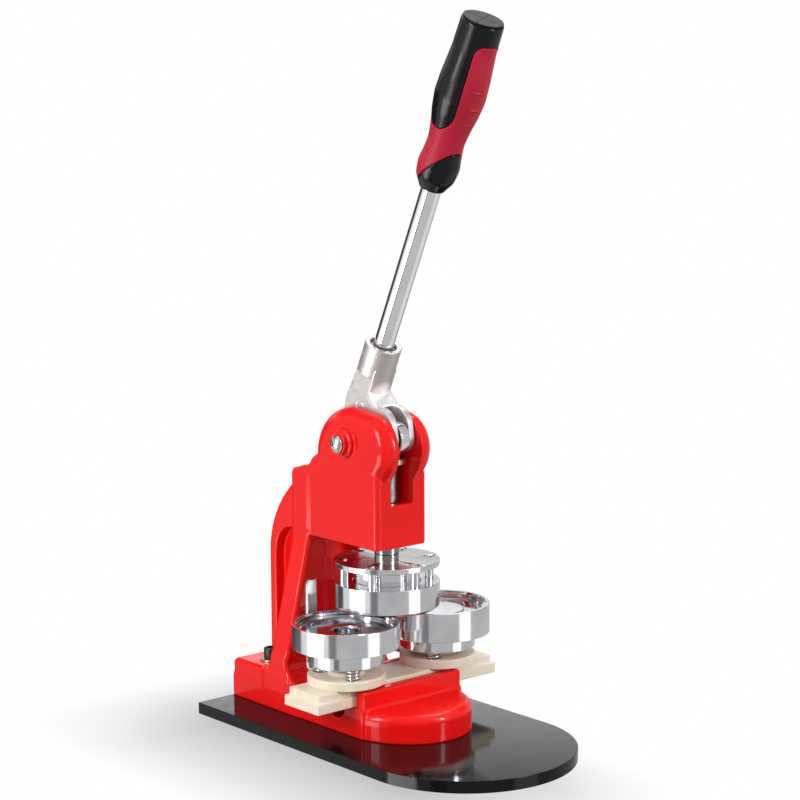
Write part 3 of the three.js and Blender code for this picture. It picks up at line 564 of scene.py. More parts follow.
# ---- frame casting ----
BASE_HALF, BASE_REAR, BASE_TOP, BOARD_TOP = 49.4, 130.4, 30.2, 9.0
NOSE_CENTRE, NOSE_REACH = -18, 55
CHANNEL_HALF, CHANNEL_FLOOR = 20.5, 31.7
GROOVE_RADIUS, GROOVE_CENTRE = 8.5, 28.5
FENCE_HALF, FENCE_FRONT, FENCE_TOP = 47.6, -30, 44.5
RAIL_HALF, RAIL_REAR, RAIL_TOP = 45, 28, 45
HEAD_HALF, HEAD_FRONT, HEAD_BOTTOM = 24.6, -18.3, 145.0
COLUMN_FRONT, COLUMN_REAR = 62.5, 83.0
BLOCK_TOP = 39.0
SPINE_HALF = 12
PIVOT, PIVOT_BORE = (18.8, 222.5), 6.3
EAR_LOBE, EAR_CROWN, EAR_EDGE = (-1.9, 219.1, 26.6), (19.4, 209.9, 38.5), 10.9
RAM_RADIUS = 9.2
BOLT_X, BOLT_Y = 29.5, 105
FRONT_SCREW_X, FRONT_SCREW_Y = 30, -30
BELOW = -30  # under the board, where a field is cut off later


def base_field(g):
    nose = arc((0, NOSE_CENTRE), BASE_HALF, 180, 360, 48, NOSE_REACH / BASE_HALF)
    plan = [(-BASE_HALF, BASE_REAR)] + nose + [(BASE_HALF, BASE_REAR)]
    plan = outline(rounded(plan, [2] + [0] * len(nose) + [2], 3), g.x, g.y)
    foot = both(plan, slab(g.z, BELOW, BASE_TOP), 6.0)
    bed = block(g, (-BASE_HALF, BASE_HALF), (FENCE_FRONT, 64), (BELOW, CHANNEL_FLOOR), 1.6)
    fence = block(g, (-FENCE_HALF, FENCE_HALF), (FENCE_FRONT, -CHANNEL_HALF), (BELOW, FENCE_TOP), 1.0)
    rail = block(g, (-RAIL_HALF, RAIL_HALF), (CHANNEL_HALF, RAIL_REAR), (BELOW, RAIL_TOP), 1.3)
    rear = block(g, (-BASE_HALF, BASE_HALF), (58, BASE_REAR), (BELOW, BLOCK_TOP), 3.6)
    low = either(either(foot, bed, 1.5), rear, 2.0)
    return either(either(low, fence, 1.6), rail, 1.4)


def column_field(g):
    side = [(45, -10), (45, CHANNEL_FLOOR)]
    front_fillet, rear_fillet = 17.6, 8
    side += arc((COLUMN_FRONT - front_fillet, CHANNEL_FLOOR + front_fillet), front_fillet, -90, 0, 14)
    side += [(COLUMN_FRONT, 195), (COLUMN_REAR, 195), (COLUMN_REAR, BLOCK_TOP + rear_fillet)]
    side += arc((COLUMN_REAR + rear_fillet, BLOCK_TOP + rear_fillet), rear_fillet, 180, 270, 10)
    side += [(COLUMN_REAR + rear_fillet, -10)]
    half = [(0, -10), (60, -10), (60, 39.7), (48.5, 50), (25, 146), (25, 200), (0, 200)]
    front = outline(rounded(half, [0, 0, 0, 26, 40, 0, 0], 8), np.abs(g.x), g.z)
    front = np.maximum(front, np.abs(g.x) - BASE_HALF)
    return both(outline(side, g.y, g.z), front, 3.2)


def spine_field(g):
    line = [(COLUMN_REAR - 4, 34), (130, 34), (130, 120)]
    line += curve((130, 120), (130, 148), (112, 175), (COLUMN_REAR - 4, 193), steps=16)
    return both(outline(line, g.y, g.z), np.abs(g.x) - SPINE_HALF, 2.6)


def head_field(g):
    side = [(HEAD_FRONT, HEAD_BOTTOM), (COLUMN_REAR, HEAD_BOTTOM), (COLUMN_REAR, 191)]
    side += curve((COLUMN_REAR, 191), (80, 196), (70, 198.5))
    side += curve((70, 198.5), (63, 199), (61, 203))
    side += curve((61, 203), (57, 208.5), (50, 211))
    side += [(0, 206), (HEAD_FRONT, 200.5)]
    plan = rounded(rectangle(-HEAD_HALF, HEAD_HALF, HEAD_FRONT, 140), [4.5, 4.5, 0, 0])
    box = both(outline(side, g.y, g.z), outline(plan, g.x, g.y), 1.5)
    ears = both(two_circles(g.y, g.z, EAR_CROWN, EAR_LOBE), np.abs(g.x) - HEAD_HALF, EAR_EDGE)
    return either(box, ears, 0.25)


def boss_field(g):
    ring = circle(g.y, g.z, PIVOT, 11.2)
    stud = circle(g.y, g.z, PIVOT, 8.6)
    wide = both(ring, np.abs(g.x) - (HEAD_HALF + 3.3), 1.6)
    return either(wide, both(stud, np.abs(g.x) - 31.8, 1.2), 1.2)


def casting_cuts(g):
    """(field to remove, rounding of the rim) pairs."""
    # the column's front panel and the spine's side pockets
    panel = [(-43.4, 50), (43.4, 50), (20.5, 138), (-20.5, 138)]
    panel = outline(rounded(panel, [9, 9, 6, 6], 6), g.x, g.z)
    yield both(panel, slab(g.y, 20, COLUMN_FRONT + 12), 3.0), 1.8
    pocket = [(88, 50), (121, 50), (121, 120)] + curve((121, 120), (119, 141), (103, 143))
    pocket += curve((103, 143), (88, 143), (88, 128))
    pocket = outline(rounded(pocket, 2.0, 3), g.y, g.z)
    yield both(pocket, slab(np.abs(g.x), 4, 30), 2.0), 1.4
    # the groove that the die stems' heads run in
    trough = block(g, (-70, 70), (-GROOVE_RADIUS, GROOVE_RADIUS), (GROOVE_CENTRE, 60))
    yield either(circle(g.y, g.z, (0, GROOVE_CENTRE), GROOVE_RADIUS), trough), 0.8
    # the head's front slot and the lever's room between the ears
    yield both(np.abs(g.x) - 10.8, both(g.y - 17.5, 177.7 - g.z)), 0.5
    yield both(np.abs(g.x) - 11, both(slab(g.y, 10, 40), 205 - g.z)), 1.0
    # the ram's bore, the spring's room above it, the pivot and the bolts
    yield both(circle(g.x, g.y, (0, 0), RAM_RADIUS + 0.4), slab(g.z, 140, 180)), 0.8
    yield both(circle(g.x, g.y, (0, 0), 11), slab(g.z, 152, 180)), 0.4
    yield circle(g.y, g.z, PIVOT, PIVOT_BORE), 0.5
    yield circle(np.abs(g.x), g.y, (BOLT_X, BOLT_Y), 4.3), 0.4


def frame_casting():
    g = Grid((-52.5, -76, 5), (52.5, 134, 252), 0.8, 1.5)
    field = either(base_field(g), column_field(g), 3.0)
    field = either(field, spine_field(g), 3.5)
    field = either(field, head_field(g), 3.0)
    field = either(field, boss_field(g), 1.0)
    for tool, rim in casting_cuts(g):
        field = without(field, tool, rim)
    field = np.maximum(field, BOARD_TOP - g.z)
    moulded("cast_frame", g, field, paint, "frame", ["frame_casting"])


# ---- base board ----
def base_board():
    half, round_centre, rear = 83, -87, 130.5
    plan = [(-half, rear), (-half, round_centre)]
    plan += arc((0, round_centre), half, 180, 360, 64)[1:-1]
    plan += [(half, round_centre), (half, rear)]
    mesh = bpy.data.meshes.new("board")
    made = bmesh.new()
    low = [made.verts.new((x * MM, y * MM, 0)) for x, y in plan]
    face = made.faces.new(low)
    grown = bmesh.ops.extrude_face_region(made, geom=[face])
    top = [v for v in grown["geom"] if isinstance(v, bmesh.types.BMVert)]
    bmesh.ops.translate(made, verts=top, vec=(0, 0, BOARD_TOP * MM))
    bmesh.ops.recalc_face_normals(made, faces=made.faces)
    made.to_mesh(mesh)
    made.free()
    piece = put("gloss_board", mesh, gloss_board, "frame", ["base_board"])
    bolt_hole = [(0, -1), (8.2, -1), (8.2, 6), (4.3, 6), (4.3, 10), (0, 10)]
    screw_hole = [(0, -1), (7.8, -1), (7.8, 4.6), (4.2, 4.6), (4.2, 10), (0, 10)]
    holes = []
    for profile, x, y in ((bolt_hole, BOLT_X, BOLT_Y), (screw_hole, FRONT_SCREW_X, FRONT_SCREW_Y)):
        holes += [lathe_mesh("hole", profile, 0, 48, (side * x, y)) for _, side in SIDES]
    cut_by(piece, holes)
    bevel = piece.modifiers.new("edges", "BEVEL")
    bevel.width, bevel.segments = 0.5 * MM, 2
    bevel.limit_method, bevel.angle_limit = "ANGLE", math.radians(50)
    flat_shading(piece)


# ---- screws, washers and the pivot ----
WASHER = 1.6


def rear_bolts():
    for name, side in SIDES:
        centre = (side * BOLT_X, BOLT_Y)
        seat = BLOCK_TOP + WASHER
        top = seat + 8
        profile = [(0, 1.2), (4, 1.2), (4, seat), (6.5, seat), (6.5, top), (0, top)]
        bolt = turned(f"{name}_cap_screw", profile, oxide, "frame",
                      [f"{name}_rear_bolt"], 0.5, 64, centre)
        cut_by(bolt, [bore(3.5, top - 4.6, top + 1, centre, 6)])
        ring = rectangle(4.3, 9.5, BLOCK_TOP, seat)
        turned(f"{name}_washer", ring, zinc, "frame", [f"{name}_rear_washer"],
               0.3, 64, centre)


def pivot_screws():
    """Pan head screws with a cross recess, in both ends of the pivot shaft."""
    for name, side in SIDES:
        dome = [(0, 0), (6.6, 0), (6.6, 1.0)] + arc((0, -4.4), 8.4, 40, 90, 8)
        place = Matrix.Translation((side * 32 * MM, PIVOT[0] * MM, PIVOT[1] * MM))
        place = place @ Matrix.Rotation(math.radians(90 * side), 4, "Y") @ Matrix.Rotation(0.4, 4, "Z")
        screw = turned(f"{name}_pan_screw", dome, nickel, "frame",
                       [f"{name}_pivot_screw"], 0.35, 64, turn=place)
        arms = []
        for k in range(2):
            arm = lathe_mesh("arm", [(0, 1.3), (3.4, 1.9), (3.4, 6), (0, 6)], 0, 4)
            arm.transform(Matrix.Diagonal((0.22, 1.0, 1, 1)) @ Matrix.Rotation(math.radians(45), 4, "Z"))
            arm.transform(place @ Matrix.Rotation(math.radians(90 * k), 4, "Z"))
            arms.append(arm)
        cut_by(screw, arms)


# ---- lever: its own frame is upright, with the socket's mouth at the origin ----
LEVER_TILT, LEVER_MOUTH = math.radians(24.6), (1.8, 296.3)
ROLLER = (-10.0, 227.0)
ROD_RADIUS, ROD_BORE = 7.6, 7.9
LEVER_PLACE = Matrix.Translation((0, *LEVER_MOUTH)) @ Matrix.Rotation(LEVER_TILT, 4, "X")


def fork_outline(g):
    """The fork's side view, in the press's frame."""
    block_side = [(-1, 277), (20, 278.6), (33.5, 256), (36.5, 245), (35, 236), (15, 236), (6.5, 260)]
    shoulder = [(6.5, 260), (-3, 250.2), (10, 240), (20, 250)]
    lobes = [(-4, 234.4, 15.8), (*ROLLER, 11), (20.5, 224.5, 11), (22, 240, 13.5)]
    side = either(outline(block_side, g.y, g.z), outline(shoulder, g.y, g.z))
    for one, other in zip(lobes, lobes[1:] + lobes[:1]):
        side = either(side, two_circles(g.y, g.z, one, other))
    return side


def roller_slot(g):
    open_side = [(-60, 190), (5.6, 190), (5.6, 227), (2.5, 236.3),
                 (2.5, 245.5), (-3.2, 250.4), (-3.2, 262), (-60, 262)]
    return either(circle(g.y, g.z, ROLLER, 15.6), outline(open_side, g.y, g.z))


def lever_head():
    g = Grid((-16, -28, 210), (16, 40, 304), 0.45, 0.8)
    dy, dz = g.y - LEVER_MOUTH[0], g.z - LEVER_MOUTH[1]
    across = dy * math.cos(LEVER_TILT) + dz * math.sin(LEVER_TILT)
    along = dz * math.cos(LEVER_TILT) - dy * math.sin(LEVER_TILT)
    radius = np.hypot(g.x, across)
    socket = both(radius - 14, slab(along, -42, 0), 0.7)
    socket = without(socket, both(10.4 - np.abs(g.x), along + 24), 0.4)
    fork = both(fork_outline(g), np.abs(g.x) - 10.4, 0.6)
    head = either(socket, fork, 0.3)
    head = without(head, both(roller_slot(g), np.abs(g.x) - 5), 0.5)
    head = without(head, both(radius - 10, -4 - along), 0.8)
    head = without(head, both(radius - ROD_BORE, -40 - along), 0.4)
    head = without(head, circle(g.y, g.z, PIVOT, PIVOT_BORE), 0.4)
    head = without(head, circle(g.y, g.z, ROLLER, 5.3), 0.4)
    mark = np.abs(np.hypot(g.y - 17.5, g.z - 249) - 3.6) - 0.35
    head = without(head, both(mark, slab(np.abs(g.x), 10.1, 12)), 0.2)
    moulded("cast_lever_head", g, head, rough_cast, "lever",
            ["lever_head"])


def lever_rod():
    place = LEVER_PLACE.copy()
    place.translation *= MM
    turned("chromed_rod", rectangle(0, ROD_RADIUS, -39, 190), plated, "lever", ["lever_rod"],
           0.5, 96, turn=place)
    lap = [(7.65, -3.2), (9.9, -3.6), (9.9, -2.6), (8.9, -1.9), (7.65, -1.6)]
    turned("socket_weld", lap, weld, "lever", (), 0.3, 96, turn=place)


GRIP_START, GRIP_LENGTH = 129.9, 130.0
GRIP_RADII = ((0, 15.5), (22, 15.9), (45, 18), (58, 18.5), (70, 17), (80, 14.9), (92, 13.3), (101, 14),
              (111, 15.6), (121, 14.4), (130, 9.2))  # distance from the top, radius


def grip_radius(down):
    """The grip's radius at a distance from its top, as a smooth curve through its stations."""
    fine = np.arange(-20, 150, 0.25)
    stations, radii = zip(*GRIP_RADII)
    value = np.interp(fine, stations, radii)
    window = np.hanning(33)
    value = np.convolve(np.pad(value, 16, "edge"), window / window.sum(), "valid")
    return np.interp(down, fine, value)


def grip():
    """A black core, whose side panels, top band and nose show round a crimson overlay."""
    top = GRIP_START + GRIP_LENGTH
    g = Grid((-20.5, -20.5, GRIP_START - 2), (20.5, 20.5, top + 2), 0.45, 0.9)
    down = top - g.z
    radius = np.hypot(g.x, g.y)
    whole = both(radius - grip_radius(down), slab(g.z, GRIP_START, top - 0.6), 0.9)
    around = np.arctan2(np.abs(g.y), np.abs(g.x)) * 17.5
    front = np.arctan2(np.abs(g.x), -g.y)
    panel = both(around - 14.4, down - 81, 13.0)
    band = down - 14.5
    nose = (116.4 - 19.4 * np.cos(front)) - down
    dark = either(either(panel, band, 8.0), nose)
    seam = 0.28
    core = both(whole, either(dark + seam, radius - (grip_radius(down) - 2.2), 0.2), 0.35)
    core = without(core, both(radius - ROD_BORE, 68 - down), 0.3)
    rubber = both(whole, seam - dark, 0.45)
    rubber = both(rubber, (grip_radius(down) - 2) - radius)
    for ridge_at, width in ((48, 6.0), (61, 4.8), (73.5, 3.8)):
        spread = np.hypot((down - ridge_at) / 0.9, np.arctan2(g.x, -g.y) * 17 / width)
        height = 0.8 * np.clip(1.2 - spread, 0, 1)
        ridge = np.maximum(radius - grip_radius(down) - height, 12 - radius)
        raised = (spread < 1.4) & (dark > 2) & (g.y < 0)
        rubber = np.where(raised, np.minimum(rubber, ridge), rubber)
    parting = both(np.abs(g.x) - 0.12, grip_radius(down) - 0.25 - radius)
    rubber = without(rubber, parting, 0.1)
    moulded("grip_core_black", g, core, black, "lever",
            ["grip_core"], LEVER_PLACE)
    moulded("grip_overlay", g, rubber, crimson, "lever",
            ["grip_sleeve"], LEVER_PLACE)


def grip_cap():
    """A flat cap with a fine cross line on it."""
    top = GRIP_START + GRIP_LENGTH
    g = Grid((-16, -16, top - 1.5), (16, 16, top + 2), 0.25, 0.4)
    radius = np.hypot(g.x, g.y)
    edge, line_end = 14.8, 13.6
    cap = both(radius - edge, slab(g.z, top - 0.5, top + 1.05), 0.45)
    turn = math.radians(28)
    one = np.abs(g.x * math.cos(turn) + g.y * math.sin(turn)) - 0.16
    other = np.abs(g.y * math.cos(turn) - g.x * math.sin(turn)) - 0.16
    line = both(either(one, other), top + 0.8 - g.z)
    cap = without(cap, both(line, radius - line_end), 0.12)
    moulded("grip_cap", g, cap, cap_black, "lever",
            ["grip_end_cap"], LEVER_PLACE)


def roller():
    place = Matrix.Translation((0, ROLLER[0] * MM, ROLLER[1] * MM))
    place = place @ Matrix.Rotation(math.radians(90), 4, "Y")
    finish = machined("roller_steel", (0, *ROLLER), "X")
    turned("bearing_ring", rectangle(10.7, 13, -4, 4), finish, "roller",
           ["roller_outer_ring"], 0.5, 128, turn=place)


# ---- ram and upper die ----
def ram():
    profile = [(0, 151), (5.3, 151), (5.3, 138.3), (RAM_RADIUS, 138.3), (RAM_RADIUS, 174.6),
               (8.2, 174.6), (8.2, 176.8), (RAM_RADIUS, 176.8), (RAM_RADIUS, 206.9),
               (6, 206.9), (6, 209.3), (0, 209.3)]
    turned("guided_ram", profile, steel, "ram", ["ram"], 0.4, 96)
    g = Grid((-12, -17.5, 205), (12, 17.5, 213), 0.35, 0.6)
    puck = both(circle(g.x, g.y, (0, 0), 16), np.abs(g.x) - 10.5, 0.5)
    puck = both(puck, slab(g.z, 207.2, 211.4), 0.7)
    puck = without(puck, both(circle(g.x, g.y, (0, 0), 6.3), g.z - 209.6), 0.3)
    moulded("pressed_puck", g, puck, zinc, "ram", ["ram_head"])
    spring = helix("return_spring", (0, 0), 10.15, 1.15, 152.2, 174.4, 6, steel, "frame",
                   ["ram_return_spring"])
    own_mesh(spring)


DISC_LOW, DISC_TOP, DISC_RADIUS = 130, 134, 40
GUIDE_ANGLES = [math.pi / 6 + k * math.pi / 3 for k in range(6)]
GUIDES = [(32.5 * math.cos(a), 32.5 * math.sin(a)) for a in GUIDE_ANGLES]


def upper_die():
    finish = machined("upper_die_steel")
    disc = rectangle(0, DISC_RADIUS, DISC_LOW, DISC_TOP)
    plate = turned("upper_disc", disc, finish, "upper_die", ["upper_die_disc"],
                   0.45, 160)
    collar = [(0, 133.9), (RAM_RADIUS, 133.9), (RAM_RADIUS, 138), (5, 138), (5, 150), (0, 150)]
    turned("disc_collar", collar, steel, "upper_die", (), 0.3, 96)
    head_hole = [(0, 120), (3.3, 120), (3.3, 131.8), (4.3, 131.8), (4.3, 140), (0, 140)]
    cut_by(plate, [lathe_mesh("bore", head_hole, 0, 32, centre) for centre in GUIDES])
    post = [(0, 110), (3.2, 110), (3.2, DISC_LOW), (2.6, DISC_LOW),
            (2.6, 132), (4.05, 132), (4.05, 133.7), (0, 133.7)]
    for k, centre in enumerate(GUIDES):
        made = turned(f"guide_post_{k + 1}", post, post_steel, "upper_die",
                      [f"upper_guide_post_{k + 1}"], 0.3, 48, centre)
        cut_by(made, [bore(2.0, 132.3, 136, centre, 6)])
    plunger = [(0, 112.8), (18, 112.8), (18.5, 109.3), (25, 109.3),
               (25, DISC_LOW), (6, DISC_LOW), (6, 133), (0, 133)]
    turned("plunger", plunger, finish, "upper_die", ["upper_plunger"], 0.5, 144)
    ring = [(25.6, 103), (35, 103), (35.5, 97.3), (37.4, 97.3), (40, 99.5), (40, 117.6), (25.6, 117.6)]
    sleeve = turned("floating_ring", ring, finish, "upper_ring", ["upper_ring"],
                    0.45, 160)
    cut_by(sleeve, [bore(3.7, 90, 130, centre) for centre in GUIDES])
    place = Matrix.Translation((0, 0, 0.108)) @ Matrix.Rotation(math.radians(-90), 4, "X")
    turned("drive_pin", rectangle(0, 3, 37, 50), steel, "upper_ring", ["turn_pin"],
           0.5, 48, turn=place)


# ---- slider, seats and turn bars ----
DIES = {"left": -40.2, "right": 50.7}
FIRST_SPRING = {"left": 5, "right": -20}
BARS = {"left": -37.9, "right": 46.0}
SEAT_TOP, BOSS_TOP, SLIDER_TOP = 53.0, 56.0, 46.0
STEM_HOLE = 4.5
SPRING_CIRCLE, SPRING_FOOT, SPRING_TOP = 20, 48, 64


def spring_places(name):
    for k in range(3):
        a = math.radians(FIRST_SPRING[name] + 120 * k)
        yield DIES[name] + SPRING_CIRCLE * math.cos(a), SPRING_CIRCLE * math.sin(a)


def slider():
    g = Grid((-85, -22, 30), (96.5, 22, 48), 0.5, 1.0)
    low = both(outline(rectangle(-83.3, 93.4, -20, 20), g.x, g.y), slab(g.z, 32, 40), 0.7)
    high = outline(rounded(rectangle(-81, 91.1, -17.7, 17.7), 1.8), g.x, g.y)
    high = both(high, slab(g.z, 33, SLIDER_TOP), 0.8)
    plate = either(low, high, 0.7)
    track = both(outline(rounded(rectangle(-43.2, 53.7, -15.7, -10.3), 2.5), g.x, g.y), g.z - 37.4)
    plate = without(plate, track, 0.3)
    for x in DIES.values():
        plate = without(plate, circle(g.x, g.y, (x, 0), STEM_HOLE), 0.3)
    moulded("slide_plate", g, plate, ivory, "slider", ["slider"])


def die_seat(name):
    x = DIES[name]
    g = Grid((x - 31, -31, 45), (x + 31, 31, 58), 0.45, 0.9)
    disc = both(circle(g.x, g.y, (x, 0), 29.25), slab(g.z, 30, SEAT_TOP), 1.2)
    boss = both(circle(g.x, g.y, (x, 0), 13.8), slab(g.z, 40, BOSS_TOP), 0.8)
    seat = either(disc, boss, 1.2)
    for centre in spring_places(name):
        seat = without(seat, both(circle(g.x, g.y, centre, 5.8), 47.7 - g.z), 0.5)
    seat = without(seat, circle(g.x, g.y, (x, 0), STEM_HOLE), 0.3)
    strap = block(g, (BARS[name] - 5, BARS[name] + 5), (27, 60), (30, 48.9))
    seat = np.maximum(without(seat, strap, 0.3), SLIDER_TOP + 0.02 - g.z)
    moulded(f"{name}_seat", g, seat, ivory, "slider", [f"{name}_die_seat"])


def turn_bar(name):
    """A bent flat strap: its foot lies on the slider and its blade stands behind the die."""
    x = BARS[name]
    g = Grid((x - 6, 26, 45), (x + 6, 47, 118), 0.4, 0.7)
    half, top = 4.65, 116
    foot = [(27.3, 46.1), (45.5, 46.1), (45.5, top), (43, top), (43, 48.6), (27.3, 48.6)]
    side = outline(rounded(foot, [0.4, 3.2, 0.6, 0.6, 1.2, 0.4]), g.y, g.z)
    face = [(x - half, 40), (x + half, 40), (x + half, top), (x - 2.2, top), (x - half, 112.6)]
    bar = both(side, outline(rounded(face, [0, 0, 0.8, 1.2, 1.2], 3), g.x, g.z), 0.45)
    moulded(f"{name}_strap", g, bar, strap_steel, "slider",
            [f"{name}_turn_bar"])


# ---- lower dies ----
DIE_RADIUS, DIE_FOOT, STEM_RADIUS = 40.3, 29, 4.1
FLOOR, PLATE_THICKNESS = 85.6, 4.2
HEIGHTS = {"left": (91.6, 73.8, 61.4), "right": (91.9, 69.4, 58.4)}  # rim, ring bottom, base bottom
HOLLOW_TOP = 61.3  # a base that reaches lower is hollowed to clear the seat's boss
FLOORS = {
    "left": [(9.4, 0), (33.7, 0), (33.7, 4.2), (11.6, 4.2), (11.0, 3.4), (9.4, 3.4)],
    "right": [(0, 0), (33.7, 0), (33.7, 4.2), (20.5, 4.2), (20, 5.6), (0, 5.6)],
}


def lower_die(name):
    centre, body = (DIES[name], 0), f"{name}_die"
    rim, ring_bottom, base_bottom = HEIGHTS[name]
    stem_top = ring_bottom - 4.8
    finish = machined(f"{name}_die_steel", (DIES[name], 0, 0))
    steps = [(38, 81), (38, rim - 0.1), (37.75, rim - 0.1), (37.4, 89.9), (36.2, 89.7), (36.1, 88.2),
             (35, 87.9), (34.9, 86.6), (34, 86.3), (34, 81)]
    turned(f"{name}_steps", steps, polished, body, (), 0.12, 160, centre)
    wall = [(12, ring_bottom), (DIE_RADIUS, ring_bottom), (DIE_RADIUS, rim), (37.8, rim),
            (37.8, 81.3), (12, 81.3)]
    turned(f"{name}_cup", wall, finish, body, [f"{name}_die_ring"], 0.3, 160, centre)
    foot = rectangle(0, DIE_FOOT, base_bottom, ring_bottom)
    base = turned(f"{name}_base", foot, finish, body, [f"{name}_die_base"],
                  0.6, 128, centre)
    holes = [bore(5.8, 50, SPRING_TOP + 0.3, c) for c in spring_places(name)]
    holes.append(bore(STEM_RADIUS + 0.3, 50, stem_top + 0.3, centre))
    if base_bottom < HOLLOW_TOP:
        holes.append(bore(15, 50, HOLLOW_TOP, centre, 64))
    cut_by(base, holes)
    floor_line = [(r, z + FLOOR - PLATE_THICKNESS) for r, z in FLOORS[name]]
    turned(f"{name}_floor", floor_line, finish, body, [f"{name}_die_plate"],
           0.25, 144, centre)
    stem = [(0, 27.7), (5.7, 27.7), (6.5, 28.5), (6.5, 31.7), (STEM_RADIUS, 31.7),
            (STEM_RADIUS, stem_top), (0, stem_top)]
    made = turned(f"{name}_stem", stem, steel, body, [f"{name}_die_stem"], 0.5, 48, centre)
    cut_by(made, [bore(2.9, 26, 30, centre, 6)])
    for k, place in enumerate(spring_places(name)):
        spring = helix(f"{name}_spring_{k + 1}", place, 4.6, 1.35, SPRING_FOOT, SPRING_TOP, 6.5, plated,
                       "slider", [f"{name}_die_spring_{k + 1}"])
        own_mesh(spring)


# ---- pieces that keep their CAD shape ----
def carried_over():
    kept = {
        oxide: ["left_rear_nut", "right_rear_nut", "left_front_screw", "right_front_screw"],
        steel: ["pivot_shaft", "slider_stop_pin", "roller_pin", "roller_inner_ring", "roller_ball_cage",
                "ram_collar"],
    }
    for finish, names in kept.items():
        for name in names:
            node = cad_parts[name]
            node.data.materials.clear()
            node.data.materials.append(finish.material)


frame_casting()
base_board()
rear_bolts()
pivot_screws()
lever_head()
lever_rod()
grip()
grip_cap()
roller()
ram()
upper_die()
slider()
for side_name, _ in SIDES:
    die_seat(side_name)
    turn_bar(side_name)
    lower_die(side_name)
carried_over()


# ---- camera, lights and floor ----
CAMERA_AZIMUTH, CAMERA_PITCH = math.radians(-40.65), math.radians(9.04)
CAMERA_ROLL = math.radians(-0.28)
CAMERA_DISTANCE, CAMERA_LENS = 1.67668, 101.35
AIM_HEIGHT, AIM_SIDE = 0.25448, 0.01059


def main_camera():
    """A long lens from the front left, a little above the dies."""
    back = Vector((math.sin(CAMERA_AZIMUTH) * math.cos(CAMERA_PITCH),
                   -math.cos(CAMERA_AZIMUTH) * math.cos(CAMERA_PITCH), math.sin(CAMERA_PITCH)))
    right = Vector((math.cos(CAMERA_AZIMUTH), math.sin(CAMERA_AZIMUTH), 0))
    up = back.cross(right)
    across = right * math.cos(CAMERA_ROLL) + up * math.sin(CAMERA_ROLL)
    raised = up * math.cos(CAMERA_ROLL) - right * math.sin(CAMERA_ROLL)
    data = bpy.data.cameras.new("camera")
    data.lens, data.sensor_width = CAMERA_LENS, 36
    camera = bpy.data.objects.new("camera", data)
    scene.collection.objects.link(camera)
    aim = right * AIM_SIDE + Vector((0, 0, AIM_HEIGHT))
    turn = Matrix((across, raised, back)).transposed().to_4x4()
    camera.matrix_world = Matrix.Translation(aim + back * CAMERA_DISTANCE) @ turn
    scene.camera = camera


def softbox(name, azimuth, height, distance, width, tall, power, aim_height=0.15):
    """An area light at an azimuth round the object, turned towards its axis."""
    data = bpy.data.lights.new(name, "AREA")
    data.shape, data.size, data.size_y, data.energy = "RECTANGLE", width, tall, power
    light = bpy.data.objects.new(name, data)
    scene.collection.objects.link(light)
    a = math.radians(azimuth)
    light.location = (distance * math.sin(a), -distance * math.cos(a), height)
    towards = Vector((0, 0, aim_height)) - light.location
    light.rotation_euler = towards.to_track_quat("-Z", "Y").to_euler()


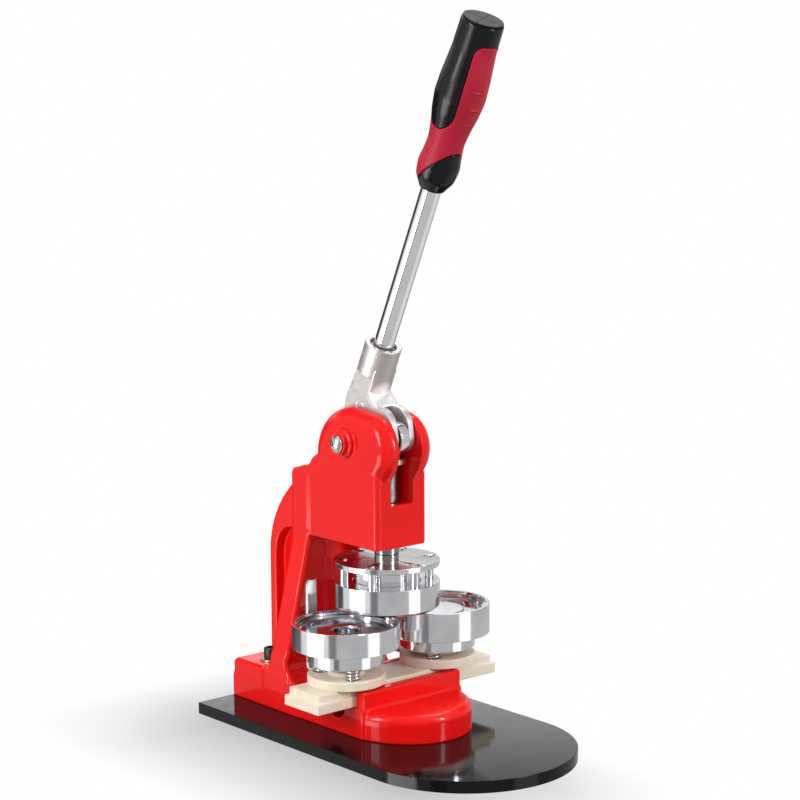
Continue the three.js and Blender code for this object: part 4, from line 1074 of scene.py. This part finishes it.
def studio():
    """A room of pale and dark panels, seen only in reflections, with an even light and three softboxes."""
    world = bpy.data.worlds.new("studio")
    scene.world = world
    world.use_nodes = True
    tree = world.node_tree
    out = tree.nodes["Background"]
    place = tree.nodes.new("ShaderNodeTexCoord")
    split = tree.nodes.new("ShaderNodeSeparateXYZ")
    tree.links.new(place.outputs["Generated"], split.inputs[0])

    def math_node(kind, *values):
        made = tree.nodes.new("ShaderNodeMath")
        made.operation = kind
        for i, value in enumerate(values):
            if isinstance(value, (int, float)):
                made.inputs[i].default_value = value
            else:
                tree.links.new(value, made.inputs[i])
        return made.outputs[0]

    def step(value, edge, soft):
        made = tree.nodes.new("ShaderNodeMapRange")
        made.interpolation_type = "SMOOTHSTEP"
        made.inputs["From Min"].default_value = edge - soft
        made.inputs["From Max"].default_value = edge + soft
        tree.links.new(value, made.inputs["Value"])
        return made.outputs["Result"]

    def times(one, other):
        return math_node("MULTIPLY", one, other)

    def flip(mask):
        return math_node("SUBTRACT", 1.0, mask)

    def band(value, low, high, soft):
        return times(step(value, low, soft), flip(step(value, high, soft)))

    def plus(base, mask, amount):
        return math_node("ADD", base, times(mask, amount))

    x, y, z = split.outputs
    turn = math_node("ARCTAN2", x, times(y, -1.0))

    def sector(first, last, soft):
        """Directions between two azimuths in degrees, with soft edges in radians."""
        return band(turn, math.radians(first), math.radians(last), soft)

    high = step(z, -0.38, 0.04)
    low = flip(high)
    left = flip(step(turn, math.radians(-77), 0.02))
    behind = math_node("ADD", sector(115, 200, 0.1), flip(step(turn, math.radians(-165), 0.1)))
    panels = (  # where each one is, and how much it adds to the room's brightness
        (left, 0.30),
        (times(high, sector(-76, -60, 0.04)), -0.34),
        (times(high, sector(9, 36, 0.02)), 1.1),
        (times(low, sector(-101, -79, 0.06)), -0.66),
        (times(low, sector(30, 88, 0.1)), 0.2),
        (times(low, sector(92, 150, 0.05)), -0.5),
        (times(sector(-126, -92, 0.04), band(z, -0.52, -0.2, 0.02)), 7.0),
        (times(behind, band(z, 0.262, 0.42, 0.01)), 2.0),
    )
    mirrored = 0.56  # the room's own brightness
    for mask, amount in panels:
        mirrored = plus(mirrored, mask, amount)
    ceiling = times(flip(sector(-150, 84, 0.05)), band(z, 0.30, 0.97, 0.04))
    mirrored = times(mirrored, flip(times(ceiling, 0.9)))
    far_side = times(flip(sector(-150, 150, 0.05)), band(z, -0.3, 0.12, 0.04))
    mirrored = times(mirrored, flip(times(far_side, 0.92)))
    mirrored = plus(mirrored, step(z, 0.85, 0.1), 0.2)
    ambient = plus(0.40, step(z, 0.3, 0.6), 0.40)
    path = tree.nodes.new("ShaderNodeLightPath")
    mix = tree.nodes.new("ShaderNodeMix")
    tree.links.new(path.outputs["Is Glossy Ray"], mix.inputs["Factor"])
    tree.links.new(ambient, mix.inputs["A"])
    tree.links.new(mirrored, mix.inputs["B"])
    seen = math_node("MAXIMUM", mix.outputs["Result"], path.outputs["Is Camera Ray"])
    tree.links.new(seen, out.inputs["Strength"])
    out.inputs["Color"].default_value = (1, 1, 1, 1)
    softbox("front_strip", 20, 0.80, 1.7, 0.26, 0.6, 15)
    softbox("left_strip", -96, 0.75, 1.7, 0.42, 0.9, 20)
    softbox("rear_box", 128, 1.7, 0.9, 1.0, 1.0, 16, 0.05)


def floor():
    """A white ground that glows evenly, with a soft grey shade along the board's left side."""
    f = Finish("pale_floor", (0, 0, 0), 1.0, Specular_IOR_Level=0.0, Emission_Strength=1.0)
    place = f.node("ShaderNodeSeparateXYZ")
    f.join(f.places((MM, MM, MM)), place.inputs[0])
    left = f.scaled(place.outputs["X"], 0, 1, -0.21, -0.083)
    right = f.scaled(place.outputs["X"], 1, 0, 0.0, 0.07)
    front = f.scaled(place.outputs["Y"], 0, 1, -0.26, -0.12)
    rear = f.scaled(place.outputs["Y"], 1, 0, 0.10, 0.22)
    glow = f.node("ShaderNodeMix", data_type="RGBA")
    glow.inputs["A"].default_value = (1, 1, 1, 1)
    glow.inputs["B"].default_value = (0.56, 0.545, 0.56, 1)
    f.join(f.product(f.product(left, right), f.product(front, rear)), glow.inputs["Factor"])
    f.join(glow.outputs["Result"], f.shader.inputs["Emission Color"])
    corners = [(x, y, 0) for x, y in rectangle(-40, 40, -40, 40)]
    mesh = new_mesh("floor", corners, [(0, 1, 2, 3)])
    mesh.materials.append(f.material)
    ground = bpy.data.objects.new("floor", mesh)
    scene.collection.objects.link(ground)
    ground.visible_glossy = False
    ground.visible_diffuse = False


main_camera()
studio()
floor()
scene.view_settings.view_transform = "Standard"
